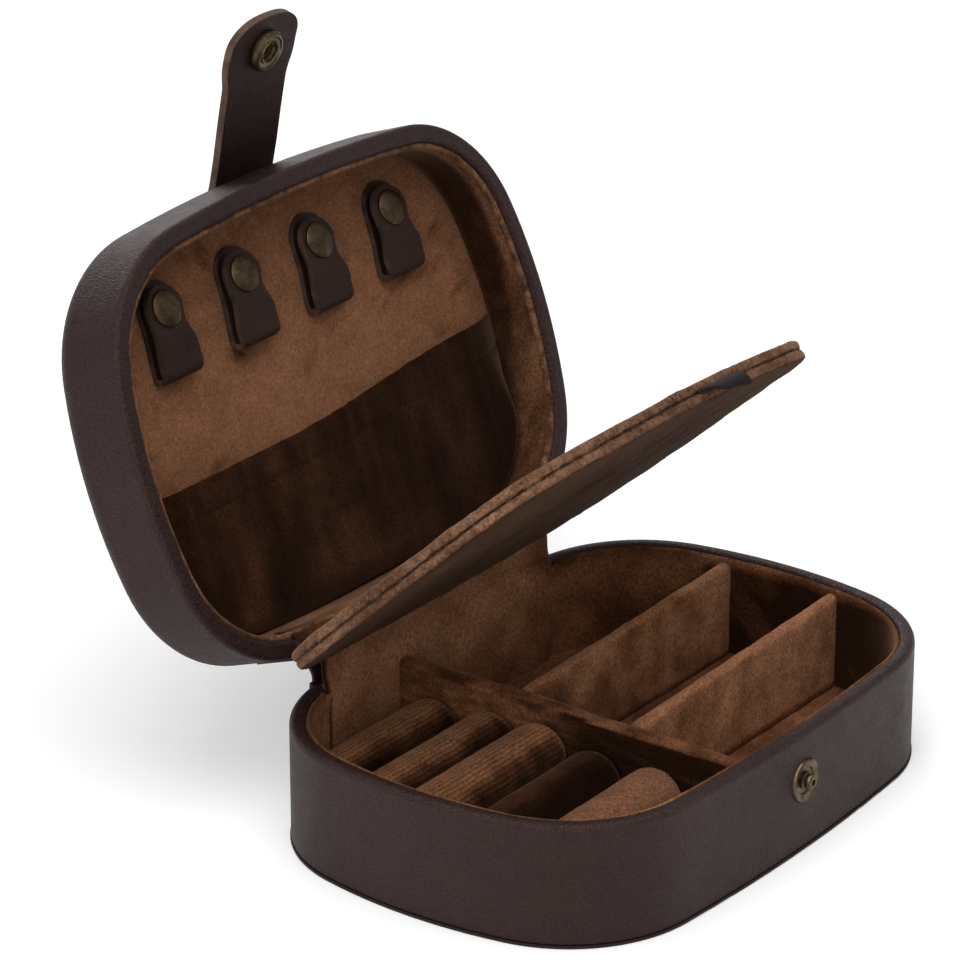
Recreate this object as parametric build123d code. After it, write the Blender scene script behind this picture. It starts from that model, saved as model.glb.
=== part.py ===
from build123d import *
import math
import os

# Travel jewelry box, modelled open as it stands in use. Millimetres, +Z up.
# The origin is the centre of the underside. +X runs along the hinge, -Y is the snap side.

# Outline of the box, seen from above
length = 180.0
depth = 125.0
corner_radius = 40.0
end_side_radius = 140.0
long_side_radius = 600.0

# Heights when closed
base_height = 35.0
lid_gap = 0.3
lid_height = 23.8
lid_edge_radius = 6.0
base_cover = 1.0
floor_board = 2.4

# Wall build-up
leather = 1.2
lip = 1.0
lip_drop = 7.0
base_rim = 4.3
lid_rim = 5.4
velvet = 1.0
seat = 0.05

# Hinge lines and open angles
hinge_y = 64.5
lid_hinge_z = 37.0
flap_hinge_z = 34.5
lid_open = 110.0
flap_open = 42.0
hinge_half_width = 52.0
notch_drop = 1.6

# Dividers and ring rolls
divider_x = -16.0
divider_thickness = 5.0
divider_top = 29.0
cross_thickness = 3.6
cross_places = {"rear": 17.5, "front": -18.5}
cross_top_left = 30.8
cross_top_right = 32.8
roll_pitch = 18.7
roll_width = 18.0
roll_rear_y = 46.5
roll_crests = [26.6, 26.4, 26.6, 23.4, 24.6]
roll_end_radius = 5.0

# Lid interior
panel_thickness = 2.3
bead_width = 1.6
bead_height = 2.0
pocket_top_y = 7.5
pocket_front_y = 55.6
pocket_depth = 7.0
pocket_skin = 1.2
hem_width = 8.0
hem_extra = 0.7

# Snap loops on the lid panel
loop_pitch = 33.0
loop_count = 4
loop_width = 15.0
loop_leather = 1.4
loop_fold_y = -23.3
loop_eye_radius = 2.4
loop_top_y = -46.0
loop_lean = 8.0
loop_cap_radius = 5.2
loop_cap_height = 1.9
loop_cap_from_top = 7.2

# Closing strap and its snap
strap_x = 1.2
strap_root_x = 4.4
strap_leather = 2.2
strap_rest_angle = 35.0
strap_snapped_angle = 93.0
strap_reach = 32.3
strap_tip = 10.3
strap_root_width = 25.0
strap_neck_width = 25.6
strap_head_width = 28.4
strap_root_y = -34.0
strap_stand_off = 3.9
snap_radius = 6.1
snap_height = 20.7
socket_height = 2.4
strap_cap_height = 2.2
socket_hole = 2.9
stud_post_radius = 2.0
stud_head_radius = 2.25
stud_reach = 2.7
washer_height = 0.8

# Inner flap
flap_inset = 7.4
flap_under = 34.9
flap_thickness = 6.0
flap_edge_radius = 2.6
flap_board_inset = 9.0
flap_board = 2.0
ribbon_x = 16.0
ribbon_width = 21.0
ribbon_reach = 9.0
ribbon_thickness = 0.5

# Hinge strips
spine_thickness = 1.0
spine_depth = 20.0
strip_thickness = 0.8
tab_inset = 0.9
spine_free = 3.2
fold_leather = 0.8
fold_velvet = 0.4

half_length = length / 2
half_depth = depth / 2
base_inner = base_rim + velvet
lid_inner = lid_rim + velvet + 0.2
rim_z = base_height + lid_gap
lid_top = rim_z + lid_height
panel_front = lid_top - leather - floor_board - panel_thickness
board_top = base_height - notch_drop
floor_z = base_cover + floor_board
inside_floor = floor_z + velvet

lid_axis = Axis((0, hinge_y, lid_hinge_z), (1, 0, 0))
flap_axis = Axis((0, hinge_y, flap_hinge_z), (1, 0, 0))

made = {}


def keep(name, solid):
    made[name] = solid


def opened_lid(solid):
    """Turns a piece from the closed lid to where it stands open."""
    return solid.rotate(lid_axis, -lid_open)


def opened_flap(solid):
    """Turns a piece from the flap lying down to where it stands."""
    return solid.rotate(flap_axis, -flap_open)


def outline(inset=0.0):
    """The box seen from above: four gently bulged sides joined by four round corners."""
    end_centre = half_length - end_side_radius
    side_centre = half_depth - long_side_radius
    end_reach = end_side_radius - corner_radius
    side_reach = long_side_radius - corner_radius
    apart = math.hypot(end_centre, side_centre)
    along = (end_reach**2 - side_reach**2 + apart**2) / (2 * apart)
    across = math.sqrt(end_reach**2 - along**2)
    ux = -end_centre / apart
    uy = side_centre / apart
    corner_x = end_centre + ux * along - uy * across
    corner_y = uy * along + ux * across
    end_angle = math.degrees(math.atan2(corner_y, corner_x - end_centre))
    side_angle = math.degrees(math.atan2(corner_y - side_centre, corner_x))
    arcs = []
    for turn in (0, 180):
        sign = 1 if turn == 0 else -1
        arcs.append(
            CenterArc((sign * end_centre, 0), end_side_radius - inset,
                      turn - end_angle, 2 * end_angle)
        )
        arcs.append(
            CenterArc((sign * corner_x, sign * corner_y), corner_radius - inset,
                      turn + end_angle, side_angle - end_angle)
        )
        arcs.append(
            CenterArc((0, sign * side_centre), long_side_radius - inset,
                      turn + side_angle, 2 * (90 - side_angle))
        )
        arcs.append(
            CenterArc((-sign * corner_x, sign * corner_y), corner_radius - inset,
                      turn + 180 - side_angle, side_angle - end_angle)
        )
    return make_face(arcs)


def slab(inset, low, high):
    """A solid of the box's outline between two heights."""
    return Pos(0, 0, low) * extrude(outline(inset), amount=high - low)


def ring(outer, inner, low, high):
    """A wall that follows the outline, between two insets and two heights."""
    return Pos(0, 0, low) * extrude(outline(outer) - outline(inner), amount=high - low)


def edges_at(solid, z):
    """The edges that lie flat at one height."""
    return [e for e in solid.edges() if abs(e.bounding_box().min.Z - z) < 1e-3
            and abs(e.bounding_box().max.Z - z) < 1e-3]


def flat_face_at(solid, z):
    """The face that lies flat at one height."""
    level = [f for f in solid.faces() if abs(f.center().Z - z) < 1e-3]
    return [f for f in level if f.geom_type == GeomType.PLANE][0]


def outer_edges_at(solid, z):
    """The flat edges of the outermost loop at one height."""
    return flat_face_at(solid, z).outer_wire().edges()


def inner_edges_at(solid, z):
    """The flat edges of the hole's loop at one height."""
    return flat_face_at(solid, z).inner_wires()[0].edges()


def block(x_low, x_high, y_low, y_high, z_low, z_high):
    """A plain block between six planes."""
    return Pos((x_low + x_high) / 2, (y_low + y_high) / 2, (z_low + z_high) / 2) * Box(
        x_high - x_low, y_high - y_low, z_high - z_low)


def hinge_cut(low, high):
    """The stretch of the rear rim that the hinge strips take."""
    return block(-hinge_half_width, hinge_half_width, 45, 75, low, high)


def make_base_shell():
    """Leather, boards, cover and lining of the base."""
    wall = ring(0, base_rim, base_cover, base_height)
    wall = fillet(outer_edges_at(wall, base_height), 1.9)
    wall = fillet(inner_edges_at(wall, base_height), 1.5)
    wall = chamfer(outer_edges_at(wall, base_cover), 0.4)
    wall -= ring(leather, base_rim - lip, base_cover - 1, board_top)
    wall -= ring(leather, base_rim + 1, base_cover - 1, base_height - lip_drop)
    wall -= hinge_cut(board_top, base_height + 1)
    keep("base_leather_wall", wall)

    keep("base_wall_board", ring(leather, base_rim - lip, floor_z, board_top))
    keep("base_floor_board", slab(leather, base_cover, floor_z))
    cover = slab(-0.25, 0, base_cover)
    keep("base_bottom_cover", fillet(edges_at(cover, 0), 0.45))

    lining = ring(base_rim - lip, base_inner, inside_floor, base_height - 2.2)
    lining -= ring(base_rim - lip - 1, base_rim, base_height - lip_drop, base_height)
    lining = fillet(inner_edges_at(lining, base_height - 2.2), 0.6)
    lining -= block(-hinge_half_width - seat, hinge_half_width + seat, 45, 75, 14, base_height)
    keep("base_velvet_wall", lining)
    keep("base_velvet_floor", slab(base_rim - lip, floor_z, inside_floor))


def make_dividers():
    """The long divider and the two cross dividers, board wrapped in velvet."""
    room = slab(base_inner + seat, inside_floor, base_height)
    main = block(divider_x - divider_thickness / 2, divider_x + divider_thickness / 2,
                 -half_depth, half_depth, inside_floor, divider_top)
    top_edges = main.edges().filter_by(Axis.Y).group_by(Axis.Z)[-1]
    main = fillet(top_edges, divider_thickness * 0.36)
    keep("main_divider", main & room)

    left = divider_x + divider_thickness / 2 + seat
    for name, y in cross_places.items():
        side = Plane.XZ * Polygon(
            (left, inside_floor), (half_length, inside_floor),
            (half_length, cross_top_right), (left, cross_top_left), align=None)
        wall = Pos(0, y + cross_thickness / 2, 0) * extrude(side, amount=cross_thickness)
        long_edges = [e for e in wall.edges() if e.length > half_length]
        wall = fillet(ShapeList(long_edges).sort_by(Axis.Z)[-2:], 1.3)
        keep("cross_divider_" + name, wall & room)


def make_ring_rolls():
    """Five soft rolls that grip rings between them."""
    room = slab(base_inner + seat, inside_floor, base_height)
    right = divider_x - divider_thickness / 2 - 0.1
    for index, crest in enumerate(roll_crests):
        y = roll_rear_y - index * roll_pitch
        radius = roll_width / 2
        face = Pos(0, crest - radius) * Circle(radius)
        face += Pos(0, (crest - radius + inside_floor) / 2) * Rectangle(
            roll_width, crest - radius - inside_floor)
        roll = extrude(Plane.YZ * face, amount=half_length)
        roll = Pos(right - half_length, y, 0) * roll
        rim = roll.faces().sort_by(Axis.X)[-1].edges().filter_by(GeomType.CIRCLE)
        roll = fillet(rim, roll_end_radius * 0.8)
        keep(f"ring_roll_{index + 1}", roll & room)


def make_base_snap():
    """Washer, post and the flanged tube that holds them through the wall."""
    wall_y = -half_depth
    profile = Polyline(
        (0, -0.1), (stud_post_radius + 1.6, -0.1), (stud_post_radius + 1.9, 0.35),
        (snap_radius - 1.1, washer_height - 0.25), (snap_radius - 0.5, washer_height - 0.05),
        (snap_radius - 0.15, washer_height - 0.3), (snap_radius, 0), (snap_radius, -0.3), (0, -0.3),
        close=True)
    plate = revolve(make_face(Plane.XZ * profile), Axis.Z)
    post_line = Polyline(
        (0, -0.1), (stud_post_radius + 0.5, -0.1), (stud_post_radius + 0.5, 0.5),
        (stud_post_radius, 0.9),
        (stud_post_radius, 1.5), (stud_head_radius, 1.9), (stud_head_radius - 0.2, 2.4),
        (stud_head_radius - 0.8, stud_reach), (0.9, stud_reach), (0.8, 1.6), (0, 1.5), close=True)
    post = revolve(make_face(Plane.XZ * post_line), Axis.Z)
    place = Plane(origin=(strap_x, wall_y, snap_height), x_dir=(1, 0, 0), z_dir=(0, -1, 0))
    hole = Cylinder(1.5, 20, align=(Align.CENTER, Align.CENTER, Align.CENTER))
    upward = (Align.CENTER, Align.CENTER, Align.MIN)
    board_back = base_rim - lip
    dish = Pos(0, 0, -0.3) * Cylinder(snap_radius + 0.1, 0.6, align=upward)
    shank = Pos(0, 0, -board_back + seat) * Cylinder(1.45, board_back, align=upward)
    keep("base_snap_washer", place * (plate - hole))
    keep("base_snap_post", place * (post + shank))
    flange = Pos(0, 0, -base_rim) * Cylinder(4.2, 0.6, align=upward)
    keep("base_snap_rivet_head", place * flange)
    shank_hole = place * Cylinder(1.5, 2 * base_rim, align=(Align.CENTER, Align.CENTER, Align.CENTER))
    made["base_leather_wall"] -= place * dish
    made["base_leather_wall"] -= shank_hole
    made["base_wall_board"] -= shank_hole
    made["base_velvet_wall"] -= place * Pos(0, 0, -base_rim - seat) * Cylinder(4.25, 0.8, align=upward)


def make_lid_shell():
    """Leather, pressed board, lining, bead and padded panel of the lid."""
    skin = slab(0, rim_z, lid_top)
    skin = fillet(edges_at(skin, lid_top), lid_edge_radius)
    hollow = slab(leather, rim_z + notch_drop, lid_top - leather)
    hollow = fillet(edges_at(hollow, lid_top - leather), lid_edge_radius - leather)
    lip_ring = ring(lid_rim - lip, lid_rim, rim_z, rim_z + lip_drop)
    leather_part = skin - hollow - slab(lid_rim, rim_z - 1, rim_z + 3) + lip_ring
    leather_part = fillet(outer_edges_at(leather_part, rim_z), 1.5)
    leather_part = fillet(inner_edges_at(leather_part, rim_z), 1.5)
    leather_part -= hinge_cut(rim_z - 1, rim_z + notch_drop)
    keep("lid_leather_cover", leather_part)

    board = slab(leather + seat, rim_z + notch_drop, lid_top - leather - seat)
    board = fillet(edges_at(board, lid_top - leather - seat), lid_edge_radius - leather)
    board -= slab(lid_rim - lip, rim_z, lid_top - leather - floor_board)
    keep("lid_board_shell", board)

    lining = ring(lid_rim - lip, lid_inner, rim_z + notch_drop + 0.6, panel_front)
    lining -= ring(lid_rim - lip - 1, lid_rim, rim_z, rim_z + lip_drop)
    lining -= block(-hinge_half_width - seat, hinge_half_width + seat, 45, 75, rim_z, rim_z + 10)
    keep("lid_velvet_wall", lining)
    panel = slab(lid_rim - lip + seat, panel_front, lid_top - leather - floor_board)
    keep("lid_velvet_panel", panel)

    bead = ring(lid_inner, lid_inner + 0.6, rim_z + 2.4, rim_z + 2.4 + bead_height)
    bead = fillet(inner_edges_at(bead, rim_z + 2.4), 0.45)
    bead -= block(-hinge_half_width - seat, hinge_half_width + seat, 45, 75, rim_z, rim_z + 10)
    keep("lid_velvet_bead", bead)


def make_pocket():
    """The gathered pocket over the rear half of the lid panel, open towards the loops."""
    low = panel_front - pocket_depth
    area = outline(lid_inner + 0.15) & Pos(0, (pocket_top_y + pocket_front_y) / 2) * Rectangle(
        length, pocket_front_y - pocket_top_y)
    body = Pos(0, 0, low) * extrude(area, amount=pocket_depth)
    round_edges = [e for e in edges_at(body, low) if e.center().Y > pocket_top_y + 1]
    body = fillet(round_edges, 3.4)
    inside_end = pocket_front_y - pocket_skin
    inside_start = pocket_top_y - 4
    room = Rectangle(length, inside_end - inside_start)
    inside = outline(lid_inner + 0.15 + pocket_skin) & Pos(0, (inside_start + inside_end) / 2) * room
    body -= Pos(0, 0, low + pocket_skin) * extrude(inside, amount=pocket_depth)
    keep("lid_pocket", body)
    hem = block(-76, 76, pocket_top_y, pocket_top_y + hem_width, low - hem_extra, low)
    hem = fillet(hem.edges().filter_by(Axis.X).group_by(Axis.Z)[0], 0.3)
    keep("lid_pocket_hem", hem)


def cap_profile(radius, height):
    """Half section of a domed snap cap with a rolled edge, standing on its back."""
    edge = radius - 0.25
    lift = 0.75
    centre = (height**2 - lift**2 - edge**2) / (2 * (height - lift))
    half_way = centre + math.sqrt((height - centre)**2 - (edge / 2)**2)
    line = Line((0, 0), (radius - 0.2, 0))
    roll = ThreePointArc((radius - 0.2, 0), (radius, 0.35), (edge, lift))
    dome = ThreePointArc((edge, lift), (edge / 2, half_way), (0, height))
    back = Line((0, height), (0, 0))
    return make_face(Plane.XZ * (line + roll + dome + back))


def make_loops():
    """Four leather snap loops: back leaf, fold, front leaf with its cap, and the studs behind."""
    fold_z = panel_front - loop_eye_radius - loop_leather
    outer = loop_eye_radius + loop_leather
    studs = []
    for index in range(loop_count):
        x = (index - (loop_count - 1) / 2) * loop_pitch
        reach = loop_fold_y - loop_top_y
        back = Rectangle(loop_width, reach - loop_width / 2, align=(Align.CENTER, Align.MAX))
        back += Pos(0, -(reach - loop_width / 2)) * Circle(loop_width / 2)
        back_leaf = extrude(back, amount=loop_leather - seat)
        back_leaf = Pos(x, loop_fold_y, panel_front - loop_leather) * back_leaf
        section = Circle(outer) - Circle(loop_eye_radius)
        section &= Pos(outer, 0) * Rectangle(2 * outer, 2 * outer)
        eye = extrude(Plane.YZ * section, amount=loop_width / 2, both=True)
        eye = Pos(x, loop_fold_y + 0.15, fold_z) * eye

        front_reach = reach - 0.6
        waist = Pos(0, -front_reach * 0.42) * Ellipse(1.0, 5.0)
        front = Rectangle(loop_width, front_reach - loop_width / 2, align=(Align.CENTER, Align.MAX))
        front += Pos(0, -(front_reach - loop_width / 2)) * Circle(loop_width / 2)
        front -= Pos(loop_width / 2, 0) * waist
        front -= Pos(-loop_width / 2, 0) * waist
        front_leaf = Pos(0, -0.3, -outer) * extrude(front, amount=loop_leather)
        cap_y = -(front_reach - loop_cap_from_top)
        cap = Pos(0, cap_y, -outer) * Rot(180, 0, 0) * revolve(
            cap_profile(loop_cap_radius, loop_cap_height), Axis.Z)
        front_leaf = front_leaf.rotate(Axis.X, -loop_lean)
        cap = cap.rotate(Axis.X, -loop_lean)
        front_leaf = Pos(x, loop_fold_y, fold_z) * front_leaf
        cap = Pos(x, loop_fold_y, fold_z) * cap
        stud_y = loop_fold_y + cap_y * math.cos(math.radians(loop_lean))
        stud = Cylinder(4.0, 0.7, align=(Align.CENTER, Align.CENTER, Align.MAX))
        stud += Cylinder(1.8, 1.5, align=(Align.CENTER, Align.CENTER, Align.MAX))
        studs.append(opened_lid(Pos(x, stud_y, panel_front - loop_leather) * stud))
        number = index + 1
        keep(f"loop_{number}_back_leaf", opened_lid(back_leaf))
        keep(f"loop_{number}_fold", opened_lid(eye))
        keep(f"loop_{number}_front_leaf", opened_lid(front_leaf))
        keep(f"loop_{number}_cap", opened_lid(cap))
    keep("loop_snap_studs", Compound(children=studs))


def strap_pivot():
    """Where the strap bends, in the closed lid's section, so that its snap meets the stud."""
    snapped = math.radians(strap_snapped_angle)
    foot_y = -half_depth - strap_stand_off
    half = strap_leather / 2
    y = foot_y + strap_reach * math.cos(snapped) - half * math.sin(snapped)
    z = snap_height + strap_reach * math.sin(snapped) + half * math.cos(snapped)
    return y, z


def leaning(x, y):
    """A point of the strap's outline, moved sideways as the strap leans from its root to its snap."""
    return x - (strap_root_x - strap_x) * max(0.0, 1 - y / strap_reach), y


def make_strap():
    """The closing strap: stitched root, bending end, and the snap through its head."""
    pivot_y, pivot_z = strap_pivot()
    rest = math.radians(strap_rest_angle)
    out_y, out_z = -math.cos(rest), -math.sin(rest)
    in_y, in_z = math.sin(rest), -math.cos(rest)
    half = strap_leather / 2
    arc_y = -half_depth + lid_edge_radius
    arc_z = lid_top - lid_edge_radius
    inner = (arc_y - pivot_y - half * in_y) * in_y + (arc_z - pivot_z - half * in_z) * in_z
    gap = half + 0.3
    end = (pivot_y - gap * out_y, pivot_z - gap * out_z)
    upper = inner + strap_leather
    face = Polygon((strap_root_y, arc_z + inner), (arc_y, arc_z + inner), (arc_y, arc_z + upper),
                   (strap_root_y, arc_z + upper), align=None)
    bent = Pos(arc_y, arc_z) * (Circle(upper) - Circle(inner))
    far = 30.0
    wedge = Polygon((arc_y, arc_z), (arc_y, arc_z + far), (arc_y - far * in_y, arc_z + far),
                    (arc_y - far * in_y, arc_z - far * in_z), align=None)
    bent &= wedge
    low_line = (arc_y - inner * in_y, arc_z - inner * in_z)
    high_line = (arc_y - upper * in_y, arc_z - upper * in_z)
    low_end = (end[0] + half * in_y, end[1] + half * in_z)
    high_end = (end[0] - half * in_y, end[1] - half * in_z)
    run = Polygon(low_line, high_line, high_end, low_end, align=None)
    root = extrude(Plane.YZ * (face + bent + run), amount=strap_root_width / 2, both=True)
    root = Pos(strap_root_x, 0, 0) * root
    corners = root.edges().filter_by(Axis.Z).sort_by(Axis.Y)[-2:]
    root = fillet(corners, 8.0)
    keep("strap_root", opened_lid(root))

    long = strap_reach + strap_tip
    hw = strap_head_width / 2
    nw = strap_neck_width / 2
    rw = strap_root_width / 2
    neck = strap_reach * 0.62
    head = strap_reach * 0.8
    shoulder = strap_reach + 2.0
    right = Polyline(leaning(rw, 0), leaning(rw, 2), leaning(nw, neck), leaning(hw, head), (hw, shoulder))
    tip_right = ThreePointArc((hw, shoulder), (hw * 0.62, long - 2.6), (0, long))
    tip_left = ThreePointArc((0, long), (-hw * 0.62, long - 2.6), (-hw, shoulder))
    left = Polyline((-hw, shoulder), leaning(-hw, head), leaning(-nw, neck), leaning(-rw, 2), leaning(-rw, 0))
    shape = make_face(right + tip_right + tip_left + left + Line(leaning(-rw, 0), leaning(rw, 0)))
    free = Pos(0, 0, -half) * extrude(shape, amount=strap_leather)
    free += Pos(strap_x - strap_root_x, 0, 0) * Rot(0, 90, 0) * Cylinder(half, strap_root_width)
    hole = Pos(0, strap_reach, 0) * Cylinder(1.6, 10)
    free -= hole
    along = Plane(origin=(strap_x, pivot_y, pivot_z), x_dir=(-1, 0, 0), z_dir=(0, -in_y, -in_z))
    keep("strap_end", opened_lid(along * free))

    socket_line = Polyline(
        (1.7, 0), (snap_radius - 0.3, 0), (snap_radius, 0.5), (snap_radius, 1.3),
        (snap_radius - 0.7, socket_height - 0.2), (snap_radius - 1.3, socket_height),
        (snap_radius - 1.7, socket_height - 0.35), (socket_hole + 0.6, socket_height - 0.45),
        (socket_hole + 0.35, socket_height - 0.05), (socket_hole, socket_height - 0.2),
        (socket_hole, 0.5), (1.7, 0.5), close=True)
    socket = revolve(make_face(Plane.XZ * socket_line), Axis.Z)
    place = Plane(origin=(strap_x, pivot_y + strap_reach * out_y + half * in_y,
                          pivot_z + strap_reach * out_z + half * in_z),
                  x_dir=(1, 0, 0), z_dir=(0, in_y, in_z))
    keep("strap_snap_socket", opened_lid(place * socket))
    spring = Pos(0, 0, 1.1) * (Cylinder(socket_hole - 0.05, 0.6) - Cylinder(stud_head_radius + 0.3, 1))
    keep("strap_snap_spring", opened_lid(place * spring))
    back = Plane(origin=(strap_x, pivot_y + strap_reach * out_y - half * in_y,
                         pivot_z + strap_reach * out_z - half * in_z),
                 x_dir=(1, 0, 0), z_dir=(0, -in_y, -in_z))
    cap = revolve(cap_profile(snap_radius, strap_cap_height), Axis.Z)
    cap += Cylinder(1.5, strap_leather, align=(Align.CENTER, Align.CENTER, Align.MAX))
    keep("strap_snap_cap", opened_lid(back * cap))


def flap_slab(inset, low, high):
    """A solid of the flap's outline, or of one that is smaller all round, between two heights."""
    return slab(flap_inset + inset, low, high)


def make_flap():
    """The padded flap: two velvet pads seamed round a board, with its ribbon pull and hinge tab."""
    middle = flap_under + flap_thickness / 2
    upper = flap_slab(0, middle, flap_under + flap_thickness)
    upper = fillet(edges_at(upper, flap_under + flap_thickness), flap_edge_radius)
    lower = flap_slab(0, flap_under, middle)
    lower = fillet(edges_at(lower, flap_under), flap_edge_radius)
    board = flap_slab(flap_board_inset, middle - flap_board / 2, middle + flap_board / 2)
    keep("flap_upper_pad", opened_flap(upper - board))
    keep("flap_lower_pad", opened_flap(lower - board))
    keep("flap_board", opened_flap(board))

    front = -half_depth + flap_inset
    ribbon = block(ribbon_x - ribbon_width / 2, ribbon_x + ribbon_width / 2, front - ribbon_reach, front,
                   middle - ribbon_thickness, middle + ribbon_thickness)
    ribbon -= flap_slab(-seat, flap_under, flap_under + flap_thickness)
    ribbon = fillet(ribbon.edges().filter_by(Axis.X).group_by(Axis.Y)[0], ribbon_thickness * 0.8)
    keep("flap_ribbon_pull", opened_flap(ribbon))

    rear = half_depth - flap_inset
    tab = block(-hinge_half_width + 1, hinge_half_width - 1, rear - 3.0, half_depth,
                flap_under + seat, flap_under + seat + strip_thickness)
    tab &= slab(tab_inset, flap_under, flap_under + flap_thickness)
    tab -= flap_slab(-seat, 0, lid_top)
    keep("flap_hinge_tab", opened_flap(tab))


def make_hinge():
    """Outer leather spine and inner velvet strips, each in its base part, lid part and free fold."""
    outer_band = ring(-spine_thickness, 0, 0, lid_top)
    low = outer_band & block(-hinge_half_width, hinge_half_width, 40, 80, base_height - spine_depth,
                             base_height - 0.4)
    high = outer_band & block(-hinge_half_width, hinge_half_width, 40, 80, rim_z + spine_free,
                              rim_z + spine_depth - 4)
    keep("leather_spine_base", low)
    keep("leather_spine_lid", opened_lid(high))

    strip = ring(0.3, base_inner, board_top, board_top + strip_thickness)
    strip += ring(base_rim, base_inner, 14 + seat, board_top + strip_thickness)
    strip += ring(base_rim - lip, base_inner, 14 + seat, base_height - lip_drop)
    strip &= hinge_cut(0, base_height)
    keep("velvet_hinge_base", strip)

    seat_z = rim_z + notch_drop
    strip = ring(0.3, lid_inner, seat_z - strip_thickness, seat_z)
    strip += ring(lid_rim, lid_inner, seat_z - strip_thickness, seat_z + lip_drop)
    strip &= hinge_cut(rim_z, rim_z + 10 - seat)
    keep("velvet_hinge_lid", opened_lid(strip))


def turned(y, z, angle, axis_z):
    """A point of the closed cross section, turned back about one of the hinge lines."""
    cos = math.cos(math.radians(angle))
    sin = math.sin(math.radians(angle))
    dy = y - hinge_y
    dz = z - axis_z
    return hinge_y + dy * cos + dz * sin, axis_z - dy * sin + dz * cos


def band(points, facing, thickness):
    """Cross section of a strip through some points; facing is the turn of its outer side at each."""
    near = []
    far = []
    for (y, z), turn in zip(points, facing):
        dy = math.cos(math.radians(turn)) * thickness / 2
        dz = -math.sin(math.radians(turn)) * thickness / 2
        near.append((y - dy, z - dz))
        far.append((y + dy, z + dz))
    far.reverse()
    return make_face([Spline(*near), Line(near[-1], far[0]), Spline(*far), Line(far[-1], near[0])])


def make_folds():
    """The free folds that bridge the two hinge lines while the box stands open."""
    leather_sections = []
    lower_sections = []
    upper_sections = []
    for step in range(-2, 3):
        x = step * (hinge_half_width - 1.2) / 2
        rear = half_depth - long_side_radius + math.sqrt(long_side_radius**2 - x**2)
        skin = rear + spine_thickness / 2
        tab_end = turned(rear - tab_inset, flap_under + strip_thickness / 2, flap_open, flap_hinge_z)
        lid_end = turned(skin, rim_z + spine_free - 0.1, lid_open, lid_hinge_z)
        first = (tab_end[0] + 0.9, tab_end[1])
        second = ((first[0] + lid_end[0]) / 2 - 0.3, lid_end[1])
        path = [(skin, base_height - 0.3), first, second, lid_end]
        face = band(path, [5, 30, 75, lid_open], fold_leather)
        leather_sections.append(Plane.YZ.offset(x) * face)

        low_start = (rear - 0.6, board_top + strip_thickness + 0.1)
        low_end = turned(rear - tab_inset - 0.35, flap_under - 0.4, flap_open, flap_hinge_z)
        half_way = ((low_start[0] + low_end[0]) / 2 - 0.1, (low_start[1] + low_end[1]) / 2)
        face = band([low_start, half_way, low_end], [0, 10, 20], fold_velvet)
        lower_sections.append(Plane.YZ.offset(x) * face)

        tab_top = flap_under + strip_thickness
        high_start = turned(rear - tab_inset - 0.3, tab_top + 0.45, flap_open, flap_hinge_z)
        strip_middle = rim_z + notch_drop - strip_thickness / 2
        high_end = turned(rear - 0.1, strip_middle, lid_open, lid_hinge_z)
        half_way = ((high_start[0] + high_end[0]) / 2 - 0.1, (high_start[1] + high_end[1]) / 2 + 0.1)
        face = band([high_start, half_way, high_end], [50, 55, 60], fold_velvet)
        upper_sections.append(Plane.YZ.offset(x) * face)
    keep("leather_spine_fold", loft(leather_sections))
    keep("velvet_hinge_fold", Compound(children=[loft(lower_sections), loft(upper_sections)]))


make_base_shell()
make_dividers()
make_ring_rolls()
make_base_snap()
make_lid_shell()
make_pocket()
for lid_piece in ("lid_leather_cover", "lid_board_shell", "lid_velvet_wall", "lid_velvet_panel",
                  "lid_velvet_bead", "lid_pocket", "lid_pocket_hem"):
    made[lid_piece] = opened_lid(made[lid_piece])
make_loops()
make_strap()
make_flap()
make_hinge()
make_folds()

os.makedirs("parts", exist_ok=True)
for name, solid in made.items():
    export_step(Compound(children=solid.solids()), f"parts/{name}.step")
print(len(made), "nodes; strap bends at", strap_pivot())
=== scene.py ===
import bpy
import bmesh
import math
from mathutils import Matrix, Vector, noise


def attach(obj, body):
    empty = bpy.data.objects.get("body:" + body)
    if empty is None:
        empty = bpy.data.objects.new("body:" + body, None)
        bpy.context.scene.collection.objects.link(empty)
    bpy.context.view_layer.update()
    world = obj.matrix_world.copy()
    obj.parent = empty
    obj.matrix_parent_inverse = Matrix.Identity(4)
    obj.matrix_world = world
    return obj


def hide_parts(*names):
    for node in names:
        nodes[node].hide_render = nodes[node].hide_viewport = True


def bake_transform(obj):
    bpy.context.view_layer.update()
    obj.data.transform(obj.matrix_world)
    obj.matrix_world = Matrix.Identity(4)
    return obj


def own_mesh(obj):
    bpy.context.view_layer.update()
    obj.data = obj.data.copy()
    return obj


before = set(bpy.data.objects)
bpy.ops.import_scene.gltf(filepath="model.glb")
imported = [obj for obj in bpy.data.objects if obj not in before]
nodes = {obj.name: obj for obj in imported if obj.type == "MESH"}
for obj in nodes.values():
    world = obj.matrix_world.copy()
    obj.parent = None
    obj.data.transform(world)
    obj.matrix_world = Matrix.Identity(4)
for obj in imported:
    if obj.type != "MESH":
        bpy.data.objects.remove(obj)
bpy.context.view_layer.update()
print("frame loaded,", len(nodes), "nodes")

# the box's own sizes in millimetres, as the CAD has them
box = {
    "length": 180.0, "depth": 125.0, "cornerRadius": 40.0, "endRadius": 140.0, "sideRadius": 600.0,
    "lidTop": 59.1, "panelZ": 53.2, "hingeY": 64.5, "lidHingeZ": 37.0, "flapHingeZ": 34.5,
    "lidOpen": 110.0, "flapOpen": 42.0,
}


# the finishes


def setSockets(tree, node, inputs):
    # each input gets a fixed value or another node's output
    for key, value in inputs.items():
        if isinstance(value, bpy.types.NodeSocket):
            tree.links.new(value, node.inputs[key])
        else:
            node.inputs[key].default_value = value


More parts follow.
